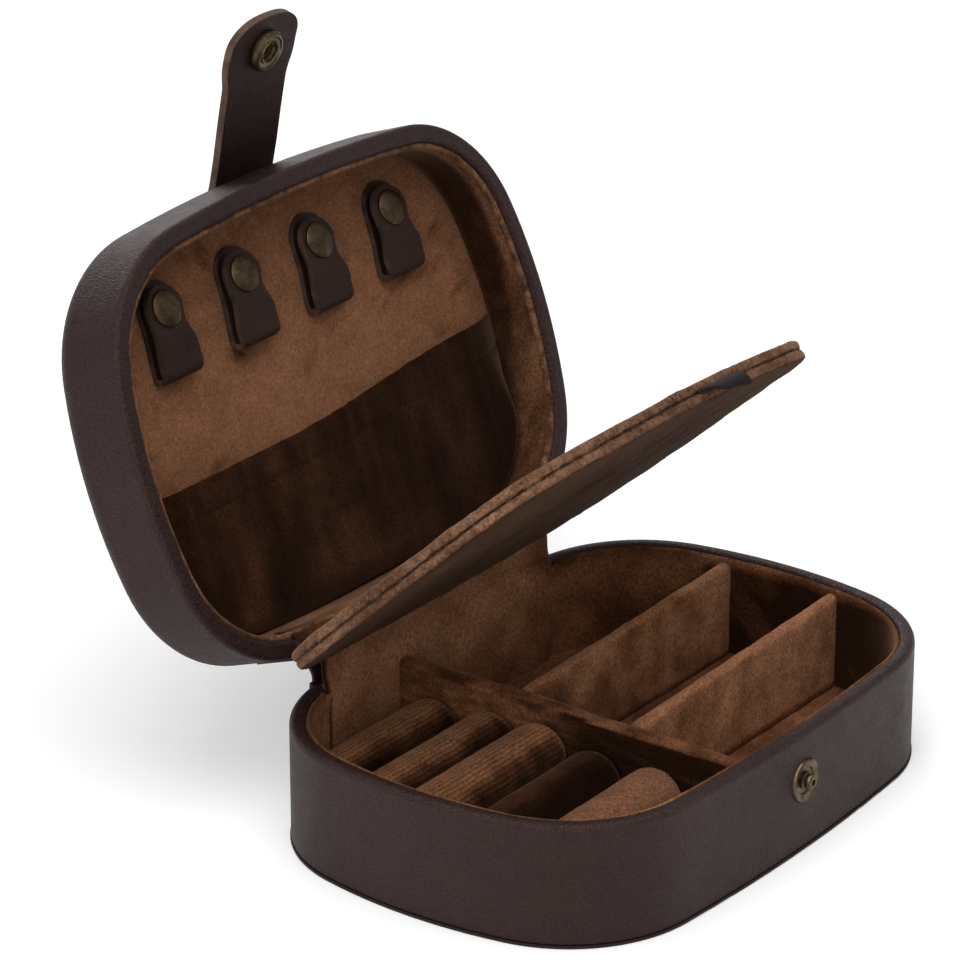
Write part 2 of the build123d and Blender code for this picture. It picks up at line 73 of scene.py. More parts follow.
def setNode(tree, kind, inputs, **settings):
    node = tree.nodes.new("ShaderNode" + kind)
    for key, value in settings.items():
        setattr(node, key, value)
    setSockets(tree, node, inputs)
    return node


def startMaterial(name):
    material = bpy.data.materials.new(name)
    material.use_nodes = True
    tree = material.node_tree
    return material, tree, tree.nodes["Principled BSDF"], setNode(tree, "TexCoord", {}).outputs["Object"]


def noiseGrey(tree, place, scale, detail, **more):
    return setNode(tree, "TexNoise", {"Vector": place, "Scale": scale, "Detail": detail, **more}).outputs["Fac"]


def painted(tree, layer):
    return setNode(tree, "Attribute", {}, attribute_name=layer).outputs["Fac"]


def reckon(tree, operation, *values):
    return setNode(tree, "Math", dict(enumerate(values)), operation=operation).outputs[0]


def times(tree, colour, layer):
    return setNode(tree, "VectorMath", {0: colour, 1: layer}, operation="MULTIPLY").outputs[0]


def mapRange(tree, value, low, high, least=0.0, most=1.0):
    return setNode(tree, "MapRange", {"Value": value, "From Min": low, "From Max": high, "To Min": least,
                                      "To Max": most}).outputs["Result"]


def ribHeight(tree, along, pitch):
    turns = reckon(tree, "MULTIPLY", along, 2 * math.pi / pitch)
    return mapRange(tree, reckon(tree, "SINE", turns), -1.0, 1.0)


def colourRamp(tree, factor, *stops):
    # a stop is a place and a colour, or a place and one number for grey
    ramp = setNode(tree, "ValToRGB", {"Fac": factor})
    elements = ramp.color_ramp.elements
    while len(elements) < len(stops):
        elements.new(0.5)
    for element, (place, colour) in zip(elements, stops):
        element.position = place
        element.color = (*colour, 1.0) if isinstance(colour, tuple) else (colour, colour, colour, 1.0)
    return ramp.outputs["Color"]


def bumpInto(tree, shader, *layers):
    # each layer is (height, strength, distance); the first lies deepest
    normal = None
    for height, strength, distance in layers:
        bump = setNode(tree, "Bump", {"Height": height, "Strength": strength, "Distance": distance})
        if normal:
            tree.links.new(normal, bump.inputs["Normal"])
        normal = bump.outputs["Normal"]
    tree.links.new(normal, shader.inputs["Normal"])


def makeLeather(name, look):
    material, tree, shader, place = startMaterial(name)
    cells = setNode(tree, "TexVoronoi", {"Vector": place, "Scale": look["grain"], "Randomness": 1.0},
                    feature="DISTANCE_TO_EDGE").outputs["Distance"]
    creases = noiseGrey(tree, place, 170.0, 6.0, Roughness=0.65)
    cloud = noiseGrey(tree, place, 28.0, 4.0)
    pebble = colourRamp(tree, cells, (0.0, 0.0), (0.28, 1.0))
    tone = colourRamp(tree, cloud, (0.3, look["dark"]), (0.7, look["light"]))
    # a little darker where the crease noise dips and lighter where it rises
    creaseTone = colourRamp(tree, creases, (0.35, 0.8), (0.7, 1.12))
    # painted shade in the grain's grooves
    grainGrooveShade = colourRamp(tree, cells, (0.0, 0.55), (0.22, 1.1))
    setSockets(tree, shader, {
        "Base Color": times(tree, times(tree, tone, creaseTone), grainGrooveShade),
        "Roughness": mapRange(tree, creases, 0.3, 0.7, *look["rough"]),
        "Specular IOR Level": look["gloss"], "Specular Tint": (1.0, 0.72, 0.66, 1.0)})
    layers = [(cloud, 0.25, 0.0006), (creases, 0.35, 0.00025), (pebble, 0.5, look["depth"])]
    if "rim" in look:
        # the leather is gathered into fine wrinkles where it turns over the rim
        facing, low, high = look["rim"]
        level = setNode(tree, "VectorMath", {0: place, 1: facing}, operation="DOT_PRODUCT").outputs["Value"]
        squeezed = setNode(tree, "VectorMath", {0: facing, "Scale": level}, operation="SCALE").outputs["Vector"]
        flat = setNode(tree, "VectorMath", {0: place, 1: squeezed}, operation="SUBTRACT").outputs["Vector"]
        wrinkle = reckon(tree, "MULTIPLY", noiseGrey(tree, flat, 620.0, 2.0), mapRange(tree, level, low, high))
        layers.append((wrinkle, 0.6, 0.00045))
    bumpInto(tree, shader, *layers)
    return material


def makeRawEdge(name, dark, light):
    material, tree, shader, place = startMaterial(name)
    fibre = noiseGrey(tree, place, 1400.0, 5.0)
    cloud = noiseGrey(tree, place, 220.0, 3.0)
    setSockets(tree, shader, {"Base Color": colourRamp(tree, cloud, (0.32, dark), (0.68, light)), "Roughness": 0.85})
    bumpInto(tree, shader, (cloud, 0.5, 0.0003), (fibre, 0.7, 0.0002))
    return material


plainVelvet = {"stretch": (1, 1, 1), "spread": (0.36, 0.60), "fuzz": (0.52, 1.4)}


def makeVelvet(name, look):
    look = {**plainVelvet, "shadow": look["dark"], "shine": look["light"], **look}
    material, tree, shader, place = startMaterial(name)
    stretched = setNode(tree, "Mapping", {"Vector": place, "Scale": look["stretch"]}).outputs["Vector"]
    patches = noiseGrey(tree, stretched, look["patch"], 5.0, Roughness=0.62, Distortion=0.6)
    brushed = noiseGrey(tree, stretched, look["patch"] * 5, 6.0, Roughness=0.7)
    pile = noiseGrey(tree, place, 1300.0, 4.0, Roughness=0.75)
    # the layer painted on each piece holds painted light above 0 and painted shade below 0, mixed with the pile's own
    # lean and patches
    lean = reckon(tree, "MULTIPLY_ADD", painted(tree, "napAndLight"), 0.3, patches)
    low, high = look["spread"]
    tone = colourRamp(tree, lean, (max(0.0, low - 0.25), look["shadow"]), (low, look["dark"]),
                      (high, look["light"]), (min(1.0, high + 0.25), look["shine"]))
    streak = colourRamp(tree, brushed, (0.32, look["streak"]), (0.66, 1.1))
    weak, strong = look["fuzz"]
    shade = times(tree, times(tree, tone, streak), colourRamp(tree, pile, (0.37, weak), (0.63, strong)))
    layers = [(patches, 0.3, 0.0008), (brushed, 0.45, 0.0004), (pile, 0.6, 0.00025)]
    if "ribs" in look:
        pitch, ribValleyShade = look["ribs"]
        wander = reckon(tree, "MULTIPLY_ADD", brushed, 0.8, painted(tree, "around"))
        height = ribHeight(tree, wander, pitch)
        # the ribs' valleys are painted darker, painted shade between the ribs
        shade = times(tree, shade, colourRamp(tree, height, (0.0, ribValleyShade), (0.7, 1.06)))
        layers.append((height, 0.5, 0.0003))
    setSockets(tree, shader, {
        "Base Color": shade, "Roughness": 0.92, "Specular IOR Level": 0.08, "Specular Tint": (0.9, 0.55, 0.38, 1.0),
        "Sheen Weight": look["sheen"], "Sheen Roughness": 0.38, "Sheen Tint": (0.78, 0.47, 0.30, 1.0)})
    bumpInto(tree, shader, *layers)
    return material


def makeBrass(name, dark, light, rough):
    material, tree, shader, place = startMaterial(name)
    cloud = noiseGrey(tree, place, 320.0, 5.0, Roughness=0.7)
    fine = noiseGrey(tree, place, 2200.0, 3.0)
    setSockets(tree, shader, {
        "Base Color": colourRamp(tree, cloud, (0.35, dark), (0.66, light)), "Metallic": 1.0,
        "Roughness": mapRange(tree, cloud, 0.3, 0.7, rough + 0.14, rough)})
    bumpInto(tree, shader, (fine, 0.25, 0.00008))
    return material


def makeGrosgrain(name):
    material, tree, shader, place = startMaterial(name)
    height = ribHeight(tree, painted(tree, "around"), 0.8)
    fine = noiseGrey(tree, place, 900.0, 3.0)
    # the colour follows the rib height: painted shade in the valleys between the ribs
    setSockets(tree, shader, {
        "Base Color": colourRamp(tree, height, (0.1, (0.0052, 0.0046, 0.005)), (0.8, (0.0075, 0.0067, 0.0073))),
        "Roughness": 0.7, "Specular IOR Level": 0.2, "Specular Tint": (1.0, 0.9, 0.86, 1.0)})
    bumpInto(tree, shader, (fine, 0.3, 0.0002), (height, 0.2, 0.0001))
    return material


def makeBoard(name):
    material, tree, shader, place = startMaterial(name)
    fibre = noiseGrey(tree, place, 420.0, 6.0)
    colour = colourRamp(tree, fibre, (0.3, (0.20, 0.18, 0.155)), (0.7, (0.32, 0.29, 0.25)))
    setSockets(tree, shader, {"Base Color": colour, "Roughness": 0.9})
    bumpInto(tree, shader, (fibre, 0.3, 0.0002))
    return material


# the way the open lid's rim faces, and how far the lid's foot lies along that
lidTurn = math.radians(box["lidOpen"])
lidNormal = (0, math.sin(lidTurn), math.cos(lidTurn))
lidFoot = (box["lidHingeZ"] * (math.cos(lidTurn) - 1) + box["hingeY"] * math.sin(lidTurn)) / 1000
boxLeather = makeLeather("boxLeather", {
    "dark": (0.0215, 0.0106, 0.0098), "light": (0.032, 0.0165, 0.015), "grain": 1150.0, "depth": 0.0003,
    "rough": (0.40, 0.56), "gloss": 0.34, "rim": ((0, 0, 1), 0.0325, 0.0345)})
lidLeather = makeLeather("lidLeather", {
    "dark": (0.02, 0.0098, 0.009), "light": (0.03, 0.0152, 0.0138), "grain": 1150.0, "depth": 0.0003,
    "rough": (0.40, 0.56), "gloss": 0.32, "rim": (lidNormal, lidFoot + 0.0395, lidFoot + 0.0372)})
coverLeather = makeLeather("coverLeather", {
    "dark": (0.014, 0.008, 0.007), "light": (0.02, 0.012, 0.0105), "grain": 900.0, "depth": 0.00018,
    "rough": (0.55, 0.7), "gloss": 0.35})
strapLeather = makeLeather("strapLeather", {
    "dark": (0.0165, 0.0078, 0.006), "light": (0.026, 0.0122, 0.0092), "grain": 1400.0, "depth": 0.0002,
    "rough": (0.48, 0.64), "gloss": 0.3})
loopLeather = makeLeather("loopLeather", {
    "dark": (0.0185, 0.0081, 0.005), "light": (0.031, 0.0138, 0.0086), "grain": 1400.0, "depth": 0.0002,
    "rough": (0.42, 0.56), "gloss": 0.28})
rawEdge = makeRawEdge("rawEdge", (0.045, 0.023, 0.0145), (0.13, 0.072, 0.045))
loopEdge = makeRawEdge("loopEdge", (0.015, 0.0085, 0.006), (0.066, 0.036, 0.023))
liningVelvet = makeVelvet("liningVelvet", {
    "shadow": (0.021, 0.0083, 0.004), "dark": (0.118, 0.0465, 0.0205), "light": (0.255, 0.108, 0.05),
    "shine": (0.37, 0.172, 0.088), "patch": 26.0, "streak": 0.74, "sheen": 0.26})
dividerVelvet = makeVelvet("dividerVelvet", {
    "shadow": (0.019, 0.0075, 0.0036), "dark": (0.1, 0.0395, 0.0175), "light": (0.235, 0.1, 0.0465),
    "patch": 40.0, "streak": 0.5, "sheen": 0.24, "stretch": (1, 0.34, 2.2)})
wallVelvet = makeVelvet("wallVelvet", {
    "shadow": (0.026, 0.0102, 0.005), "dark": (0.085, 0.036, 0.0168), "light": (0.19, 0.086, 0.043),
    "patch": 40.0, "streak": 0.66, "sheen": 0.28, "stretch": (1, 1, 0.4)})
panelVelvet = makeVelvet("panelVelvet", {
    "shadow": (0.05, 0.0205, 0.0095), "dark": (0.138, 0.0595, 0.0275), "light": (0.222, 0.1, 0.05),
    "patch": 20.0, "spread": (0.30, 0.56), "streak": 0.8, "sheen": 0.3, "fuzz": (0.66, 1.3)})
rollVelvet = makeVelvet("rollVelvet", {
    "shadow": (0.016, 0.0062, 0.0027), "dark": (0.078, 0.031, 0.0138), "light": (0.225, 0.096, 0.0455),
    "shine": (0.28, 0.128, 0.063), "patch": 34.0, "spread": (0.38, 0.62), "streak": 0.7, "sheen": 0.18,
    "ribs": (1.4, 0.62)})
smoothRollVelvet = makeVelvet("smoothRollVelvet", {
    "shadow": (0.045, 0.018, 0.0095), "dark": (0.115, 0.049, 0.026), "light": (0.205, 0.092, 0.051),
    "patch": 26.0, "spread": (0.36, 0.62), "streak": 0.78, "sheen": 0.2})
darkRollVelvet = makeVelvet("darkRollVelvet", {
    "shadow": (0.0085, 0.0028, 0.0014), "dark": (0.0145, 0.0048, 0.0024), "light": (0.042, 0.0155, 0.0075),
    "patch": 30.0, "spread": (0.42, 0.74), "streak": 0.7, "sheen": 0.16})
pocketVelvet = makeVelvet("pocketVelvet", {
    "shadow": (0.0095, 0.0035, 0.0016), "dark": (0.0205, 0.0076, 0.0036), "light": (0.05, 0.02, 0.0092),
    "shine": (0.1, 0.044, 0.021), "patch": 22.0, "spread": (0.40, 0.70), "streak": 0.7, "sheen": 0.2})
seamVelvet = makeVelvet("seamVelvet", {
    "dark": (0.075, 0.033, 0.0165), "light": (0.19, 0.091, 0.048), "patch": 90.0, "spread": (0.36, 0.62),
    "streak": 0.66, "sheen": 0.3})
flapVelvet = makeVelvet("flapVelvet", {
    "shadow": (0.022, 0.0125, 0.0078), "dark": (0.06, 0.029, 0.017), "light": (0.135, 0.066, 0.038),
    "shine": (0.2, 0.108, 0.066), "patch": 24.0, "streak": 0.8, "sheen": 0.35})
# the flap's underside: a darker copy of the flap velvet with little sheen, painted shade
shadedUnderVelvet = makeVelvet("shadedUnderVelvet", {
    "dark": (0.032, 0.0165, 0.0098), "light": (0.07, 0.0375, 0.0228), "patch": 18.0, "spread": (0.34, 0.64),
    "streak": 0.85, "sheen": 0.06})
agedBrass = makeBrass("agedBrass", (0.06, 0.042, 0.024), (0.2, 0.148, 0.083), 0.3)
capBrass = makeBrass("capBrass", (0.06, 0.0385, 0.024), (0.138, 0.093, 0.056), 0.38)
springSteel = makeBrass("springSteel", (0.32, 0.30, 0.27), (0.55, 0.53, 0.50), 0.28)
ribbonBlack = makeGrosgrain("ribbonBlack")
greyBoard = makeBoard("greyBoard")
print("materials made")

# a CAD node that isn't named here is velvet, or strap leather where it belongs to a loop
nodeFinish = {
    "base_leather_wall": boxLeather, "lid_leather_cover": lidLeather, "base_bottom_cover": coverLeather,
    "strap_snap_cap": capBrass, "strap_snap_spring": springSteel, "lid_velvet_panel": panelVelvet,
    "lid_velvet_bead": seamVelvet, "flap_ribbon_pull": ribbonBlack,
}
for finish, names in (
        (boxLeather, ("leather_spine_base", "leather_spine_lid", "leather_spine_fold")),
        (greyBoard, ("base_wall_board", "base_floor_board", "lid_board_shell", "flap_board")),
        (agedBrass, ("base_snap_washer", "base_snap_post", "base_snap_rivet_head", "strap_snap_socket",
                     "loop_snap_studs")),
        (pocketVelvet, ("lid_pocket", "lid_pocket_hem")), (strapLeather, ("strap_root", "strap_end")),
        (flapVelvet, ("flap_upper_pad", "flap_lower_pad"))):
    nodeFinish.update(dict.fromkeys(names, finish))
for name, node in nodes.items():
    if name.startswith("loop_"):
        finish = capBrass if name.endswith("_cap") else nodeFinish.get(name, strapLeather)
    else:
        finish = nodeFinish.get(name, liningVelvet)
    node.data.materials.clear()
    node.data.materials.append(finish)


# shaping helpers, all in millimetres until the piece is finished


def ripple(x, y, z):
    return noise.noise(Vector((x, y, z)))


def smoothStep(low, high, value):
    share = min(1.0, max(0.0, (value - low) / (high - low)))
    return share * share * (3 - 2 * share)


def outlineArcs():
    endCentre = box["length"] / 2 - box["endRadius"]
    sideCentre = box["depth"] / 2 - box["sideRadius"]
    endReach = box["endRadius"] - box["cornerRadius"]
    sideReach = box["sideRadius"] - box["cornerRadius"]
    apart = math.hypot(endCentre, sideCentre)
    along = (endReach ** 2 - sideReach ** 2 + apart ** 2) / (2 * apart)
    across = math.sqrt(endReach ** 2 - along ** 2)
    ux, uy = -endCentre / apart, sideCentre / apart
    cornerX = endCentre + ux * along - uy * across
    cornerY = uy * along + ux * across
    endAngle = math.atan2(cornerY, cornerX - endCentre)
    sideAngle = math.atan2(cornerY - sideCentre, cornerX)
    corner, turn = box["cornerRadius"], sideAngle - endAngle
    rear = (0, sideCentre, box["sideRadius"])
    return [
        (*rear, math.pi / 2, math.pi / 2 - sideAngle),
        (-cornerX, cornerY, corner, math.pi - sideAngle, turn),
        (-endCentre, 0, box["endRadius"], math.pi - endAngle, 2 * endAngle),
        (-cornerX, -cornerY, corner, math.pi + endAngle, turn),
        (0, -sideCentre, box["sideRadius"], math.pi + sideAngle, math.pi - 2 * sideAngle),
        (cornerX, -cornerY, corner, 2 * math.pi - sideAngle, turn),
        (endCentre, 0, box["endRadius"], 2 * math.pi - endAngle, 2 * endAngle),
        (cornerX, cornerY, corner, 2 * math.pi + endAngle, turn),
        (*rear, 2 * math.pi + sideAngle, math.pi / 2 - sideAngle),
    ]


arcs = outlineArcs()
rimLength = sum(radius * sweep for _, _, radius, _, sweep in arcs)


def rimPoint(share, inset=0.0):
    # the outline's point that share of the way round, from the middle of the back towards the left
    left = (share % 1.0) * rimLength
    for centreX, centreY, radius, start, sweep in arcs:
        if left <= radius * sweep:
            break
        left -= radius * sweep
    angle = start + left / radius
    return centreX + (radius - inset) * math.cos(angle), centreY + (radius - inset) * math.sin(angle)


def wallX(y, inset, side):
    # where the end wall stands at some depth, found by halving the shares of that side
    low, high = (0.02, 0.25) if y > 0 else (0.25, 0.48)
    for _ in range(40):
        middle = (low + high) / 2
        if rimPoint(middle, inset)[1] > y:
            low = middle
        else:
            high = middle
    return rimPoint(low, inset)[0] * (1 if side == "left" else -1)


def growRing(bm, edges):
    # extrudes a ring of edges and gives the new ring's points and edges
    grown = bmesh.ops.extrude_edge_only(bm, edges=edges)["geom"]
    ring = [part for part in grown if isinstance(part, bmesh.types.BMVert)]
    fresh = set(ring)
    return ring, [part for part in grown if isinstance(part, bmesh.types.BMEdge) and fresh.issuperset(part.verts)]


def wrapRound(profile, count=220, cap=False):
    # sweeps a cross section of (inset, height) points round the outline; a third number draws a ring in
    bm = bmesh.new()
    share = bm.verts.layers.float.new("share")
    ring = bmesh.ops.create_circle(bm, segments=count, radius=1.0)["verts"]
    for index, vert in enumerate(ring):
        vert[share] = index / count
    firstLoop = loop = bm.edges[:]
    for number, point in enumerate(profile):
        if number:
            ring, loop = growRing(bm, loop)
        drawn = 1 - (point[2] if len(point) > 2 else 0.0)
        for vert in ring:
            x, y = rimPoint(vert[share], point[0])
            vert.co = (x * drawn, y * drawn, point[1])
    if cap:
        bmesh.ops.pointmerge(bm, verts=ring, merge_co=(0, 0, profile[-1][1]))
    else:
        bmesh.ops.bridge_loops(bm, edges=firstLoop + loop)
    return bm


def soften(bm, amount, size, seed=0.0, keep=None):
    # pushes the surface in and out a little, as cloth over padding
    bm.normal_update()
    for vert in bm.verts:
        weight = keep(vert.co) if keep else 1.0
        push = ripple(vert.co.x / size + seed, vert.co.y / size, vert.co.z / size)
        vert.co += vert.normal * (push * amount * weight)


# lid and flap pieces are drawn as in the closed box, then turned by this angle about a hinge at this height
opened = {"lid": (box["lidOpen"], box["lidHingeZ"]), "flap": (box["flapOpen"], box["flapHingeZ"])}


def paintNapAndLight(bm, rule):
    # rule gives the painted light and shade, with the pile's lean, from a point and its normal, while the piece is
    # still as in the closed box
    bmesh.ops.recalc_face_normals(bm, faces=bm.faces)
    bm.normal_update()
    napAndLight = bm.verts.layers.float.get("napAndLight") or bm.verts.layers.float.new("napAndLight")
    for vert in bm.verts:
        vert[napAndLight] = rule(vert.co, vert.normal)


def placeObject(name, data):
    made = bpy.data.objects.new(name, data)
    bpy.context.scene.collection.objects.link(made)
    return made


def meshFrom(bm, name):
    mesh = bpy.data.meshes.new(name)
    bm.to_mesh(mesh)
    bm.free()
    return mesh


def finishPiece(bm, name, materials, body=None, stands=(), turn=None, subdivide=0):
    # a piece without a body is turned as its turn says and attached to none
    if (turn or body) in opened:
        angle, axisZ = opened[turn or body]
        bmesh.ops.rotate(bm, verts=bm.verts, cent=(0, box["hingeY"], axisZ),
                         matrix=Matrix.Rotation(math.radians(-angle), 3, "X"))
    bmesh.ops.scale(bm, verts=bm.verts, vec=(0.001, 0.001, 0.001))
    bmesh.ops.recalc_face_normals(bm, faces=bm.faces)
    for face in bm.faces:
        face.smooth = True
    piece = placeObject(name, meshFrom(bm, name))
    for material in materials if isinstance(materials, list) else [materials]:
        piece.data.materials.append(material)
    if subdivide:
        addModifier(piece, "SUBSURF", levels=subdivide, render_levels=subdivide)
    if body:
        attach(piece, body)
    if stands:
        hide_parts(*stands)
    return piece


def addModifier(piece, kind, **settings):
    modifier = piece.modifiers.new(kind.lower(), kind)
    for key, value in settings.items():
        setattr(modifier, key, value)
    return modifier


def thickenLeather(piece, thick, bevel, segments):
    # a strip of leather with raw, slightly rounded edges
    addModifier(piece, "SOLIDIFY", thickness=thick / 1000, offset=0.0, material_offset_rim=1)
    addModifier(piece, "BEVEL", width=bevel / 1000, segments=segments, limit_method="ANGLE",
                angle_limit=math.radians(50))
    bpy.context.view_layer.update()


def settle(piece):
    # puts what the modifiers make into the mesh itself
    bpy.context.view_layer.update()
    shaped = bpy.data.meshes.new_from_object(piece.evaluated_get(bpy.context.evaluated_depsgraph_get()))
    piece.modifiers.clear()
    piece.data = shaped


def inflate(bm, look, held):
    # a short cloth simulation under pressure, on a copy with even faces, lets the padding fill the cloth
    scene = bpy.context.scene
    bmesh.ops.scale(bm, verts=bm.verts, vec=(0.001, 0.001, 0.001))
    bmesh.ops.recalc_face_normals(bm, faces=bm.faces)
    form = placeObject("padding", meshFrom(bm, "padding"))
    addModifier(form, "REMESH", mode="VOXEL", voxel_size=look["voxel"] / 1000)
    settle(form)
    start = [vert.co.copy() for vert in form.data.vertices]
    group = form.vertex_groups.new(name="held")
    group.add([index for index, place in enumerate(start) if held(place * 1000)], 1.0, "REPLACE")
    cloth = addModifier(form, "CLOTH")
    cloth.settings.quality = 4
    cloth.settings.mass = 0.15
    cloth.settings.use_pressure = True
    cloth.settings.uniform_pressure_force = look["pressure"]
    cloth.settings.effector_weights.gravity = 0.0
    cloth.settings.vertex_group_mass = group.name
    cloth.point_cache.frame_end = look["frames"]
    for moment in range(1, look["frames"] + 1):
        scene.frame_set(moment)
    settle(form)
    scene.frame_set(1)
    full = bmesh.new()
    full.from_mesh(form.data)
    for vert, place in zip(full.verts, start):
        moved = vert.co - place
        if moved.length > look["most"] / 1000:
            vert.co = place + moved.normalized() * look["most"] / 1000
    bpy.data.objects.remove(form)
    bmesh.ops.scale(full, verts=full.verts, vec=(1000, 1000, 1000))
    return full


def makeGrid(columns, rows):
    bm = bmesh.new()
    bmesh.ops.create_grid(bm, x_segments=columns, y_segments=rows, size=1.0)
    return bm


def pathLengths(points):
    lengths = [0.0]
    for (y0, z0), (y1, z1) in zip(points, points[1:]):
        lengths.append(lengths[-1] + math.hypot(y1 - y0, z1 - z0))
    return lengths


def stripBetween(points, widthAt, columns, centreAt):
    # a flat strip that follows (y, z) points, with its width told by the distance along it
    rows = len(points) - 1
    bm = makeGrid(columns, rows)
    lengths = pathLengths(points)
    for vert in bm.verts:
        row = round((vert.co.y + 1) / 2 * rows)
        y, z = points[row]
        vert.co = (centreAt(lengths[row]) + vert.co.x * widthAt(lengths[row]) / 2, y, z)
    return bm


# the base's lining, dividers and ring rolls


baseLining = {
    "inset": 5.3, "lipInset": 4.4, "floor": 4.4, "top": 34.3, "notchTop": 32.8, "notchHalf": 53.0, "step": 28.0,
    "wobble": 0.16,
}


def baseNapAndLight(co, normal):
    # painted shade on the right end wall and the front floor, painted light on the rear floor and on the walls,
    # fading to painted shade towards the right
    patch = ripple(co.x / 16, co.y / 16, co.z / 11)
    if co.z < baseLining["floor"] + 1:
        return 0.35 * patch + (0.55 if co.y > 18 else -0.35)
    if co.x > 52 and co.y < 24 and co.z < baseLining["top"] - 1:
        return -1.5 + 0.2 * patch
    if co.z > baseLining["top"] - 1:
        return -0.35 + 0.5 * patch
    return 0.8 + 0.8 * patch - 0.9 * smoothStep(30, 75, co.x)


def makeBaseLining():
    inner, lip = baseLining["inset"], baseLining["lipInset"]
    top, step, floor = baseLining["top"], baseLining["step"], baseLining["floor"]
    profile = [(lip, step), (lip, top - 0.9), (lip + 0.25, top - 0.1), (inner - 0.2, top), (inner + 0.1, top - 0.8)]
    profile += [(inner + 0.05, top - 0.8 - k * (top - 6.5) / 9) for k in range(1, 9)]
    profile += [(inner + 0.1, floor + 1.2), (inner + 0.3, floor + 0.3), (inner + 1.4, floor)]
    profile += [(inner + 1.4, floor, 0.12 * k) for k in range(1, 8)] + [(inner + 1.4, floor, 0.97)]
    bm = wrapRound(profile, cap=True)
    soften(bm, baseLining["wobble"], 9.0, 3.0, lambda co: 1.0 if co.z > floor + 1 else 0.4)
    for vert in bm.verts:
        if vert.co.y > 50 and abs(vert.co.x) < baseLining["notchHalf"]:
            vert.co.z = min(vert.co.z, baseLining["notchTop"])
    paintNapAndLight(bm, baseNapAndLight)
    piece = finishPiece(bm, "baseVelvetLining", liningVelvet, "base", ("base_velvet_wall", "base_velvet_floor"))


dividers = {
    "mainX": -16.0, "mainThickness": 5.0, "mainTop": 30.5, "floor": 4.45,
    "crossThickness": 3.6, "rearY": 17.5, "frontY": -18.5, "crossLow": 30.5, "crossHigh": 32.8, "buried": 1.2,
    "endInset": 5.4, "wallInset": 5.45,
}


def wrappedBoard(low, high, thickness, bottom, leftTop, rightTop):
    # an upright board with a rounded top, long along x
    bm = bmesh.new()
    bmesh.ops.create_cube(bm, size=1.0)
    for vert in bm.verts:
        end, top = (high, rightTop) if vert.co.x > 0 else (low, leftTop)
        vert.co = (end, vert.co.y * thickness, top if vert.co.z > 0 else bottom)
    for axis, cuts in ((0, 40), (2, 9)):
        crossing = [e for e in bm.edges if abs(e.verts[0].co[axis] - e.verts[1].co[axis]) > 10]
        bmesh.ops.subdivide_edges(bm, edges=crossing, cuts=cuts, use_grid_fill=True)
    crown = []
    for edge in bm.edges:
        one, other = (vert.co for vert in edge.verts)
        level = min(one.z, other.z) > min(leftTop, rightTop) - 0.6 and abs(one.z - other.z) < 0.6
        if level and abs(one.y - other.y) < 0.01 and abs(abs(one.y) - thickness / 2) < 0.01:
            crown.append(edge)
    bmesh.ops.bevel(bm, geom=crown, offset=thickness * 0.42, affect="EDGES", segments=4, profile=0.5, material=-1)
    return bm


def mainDividerNap(co, normal):
    patch = ripple(co.x / 5, co.y / 7, co.z / 3)
    if normal.z > 0.35:
        return -0.15 + 0.9 * patch
    # its left face is streaked at the back and dark in front
    streak = ripple(4.0, co.y / 3.4, co.z / 0.9)
    rear = smoothStep(-6, 12, co.y)
    left = -1.6 + rear * (1.6 + 0.9 * streak + 0.4 * patch) if normal.x < 0 else 0.0
    return left + 0.2 * patch


def crossDividerNapAndLight(co, normal):
    # painted light: the front divider's faces lighter than the rear one's, and the tops one fixed, lighter tone
    patch = ripple(co.x / 9, co.y / 30, co.z / 12)
    upper = ripple(co.x / 5, 4.0, co.z / 6)
    return 0.6 if normal.z > 0.6 else (0.75 if co.y < 0 else 0.3) + 1.2 * patch + 0.5 * upper


def makeDividers():
    thick = dividers["mainThickness"]
    reach = -rimPoint(0.52, dividers["endInset"])[1]
    bm = wrappedBoard(-reach, reach, thick, dividers["floor"], dividers["mainTop"], dividers["mainTop"])
    bmesh.ops.rotate(bm, verts=bm.verts, cent=(0, 0, 0), matrix=Matrix.Rotation(math.pi / 2, 3, "Z"))
    bmesh.ops.translate(bm, verts=bm.verts, vec=(dividers["mainX"], 0, 0))
    soften(bm, 0.3, 8.0, 7.0)
    soften(bm, 0.5, 17.0, 5.0, lambda co: max(0.0, co.z - 14) / 15)
    soften(bm, 0.16, 1.6, 3.0)
    paintNapAndLight(bm, mainDividerNap)
    piece = finishPiece(bm, "mainDividerVelvet", dividerVelvet, "base", ("main_divider",))
    left = dividers["mainX"] + thick / 2 + 0.1
    for name, y, seed in (("rear", dividers["rearY"], 11.0), ("front", dividers["frontY"], 17.0)):
        step, inset = dividers["crossThickness"] / 2, dividers["wallInset"]
        bevelled = abs(wallX(y + step, inset, "right") - wallX(y - step, inset, "right")) / 2
        right = wallX(y, inset, "right") - bevelled + dividers["buried"]
        bm = wrappedBoard(left, right, 2 * step, dividers["floor"], dividers["crossLow"], dividers["crossHigh"])
        bmesh.ops.translate(bm, verts=bm.verts, vec=(0, y, 0))
        soften(bm, 0.26, 8.0, seed)
        paintNapAndLight(bm, crossDividerNapAndLight)
        piece = finishPiece(bm, name + "CrossDividerVelvet", liningVelvet, "base", ("cross_divider_" + name,))


rolls = {
    "middles": (41.8, 22.4, 6.0, -11.7, -31.4), "radius": 8.6, "floor": 4.45, "right": -19.0, "rounded": 5.2,
    "steps": 30, "inset": 5.6,
    "crests": (24.5, 26.2, 27.5, 24.2, 25.1), "lit": (0.5, 0.45, 0.7, 0.3, 1.1),
    "voxel": 1.7, "pressure": 4.0, "frames": 20, "most": 0.75,
    "looks": (rollVelvet, rollVelvet, rollVelvet, darkRollVelvet, smoothRollVelvet),
}


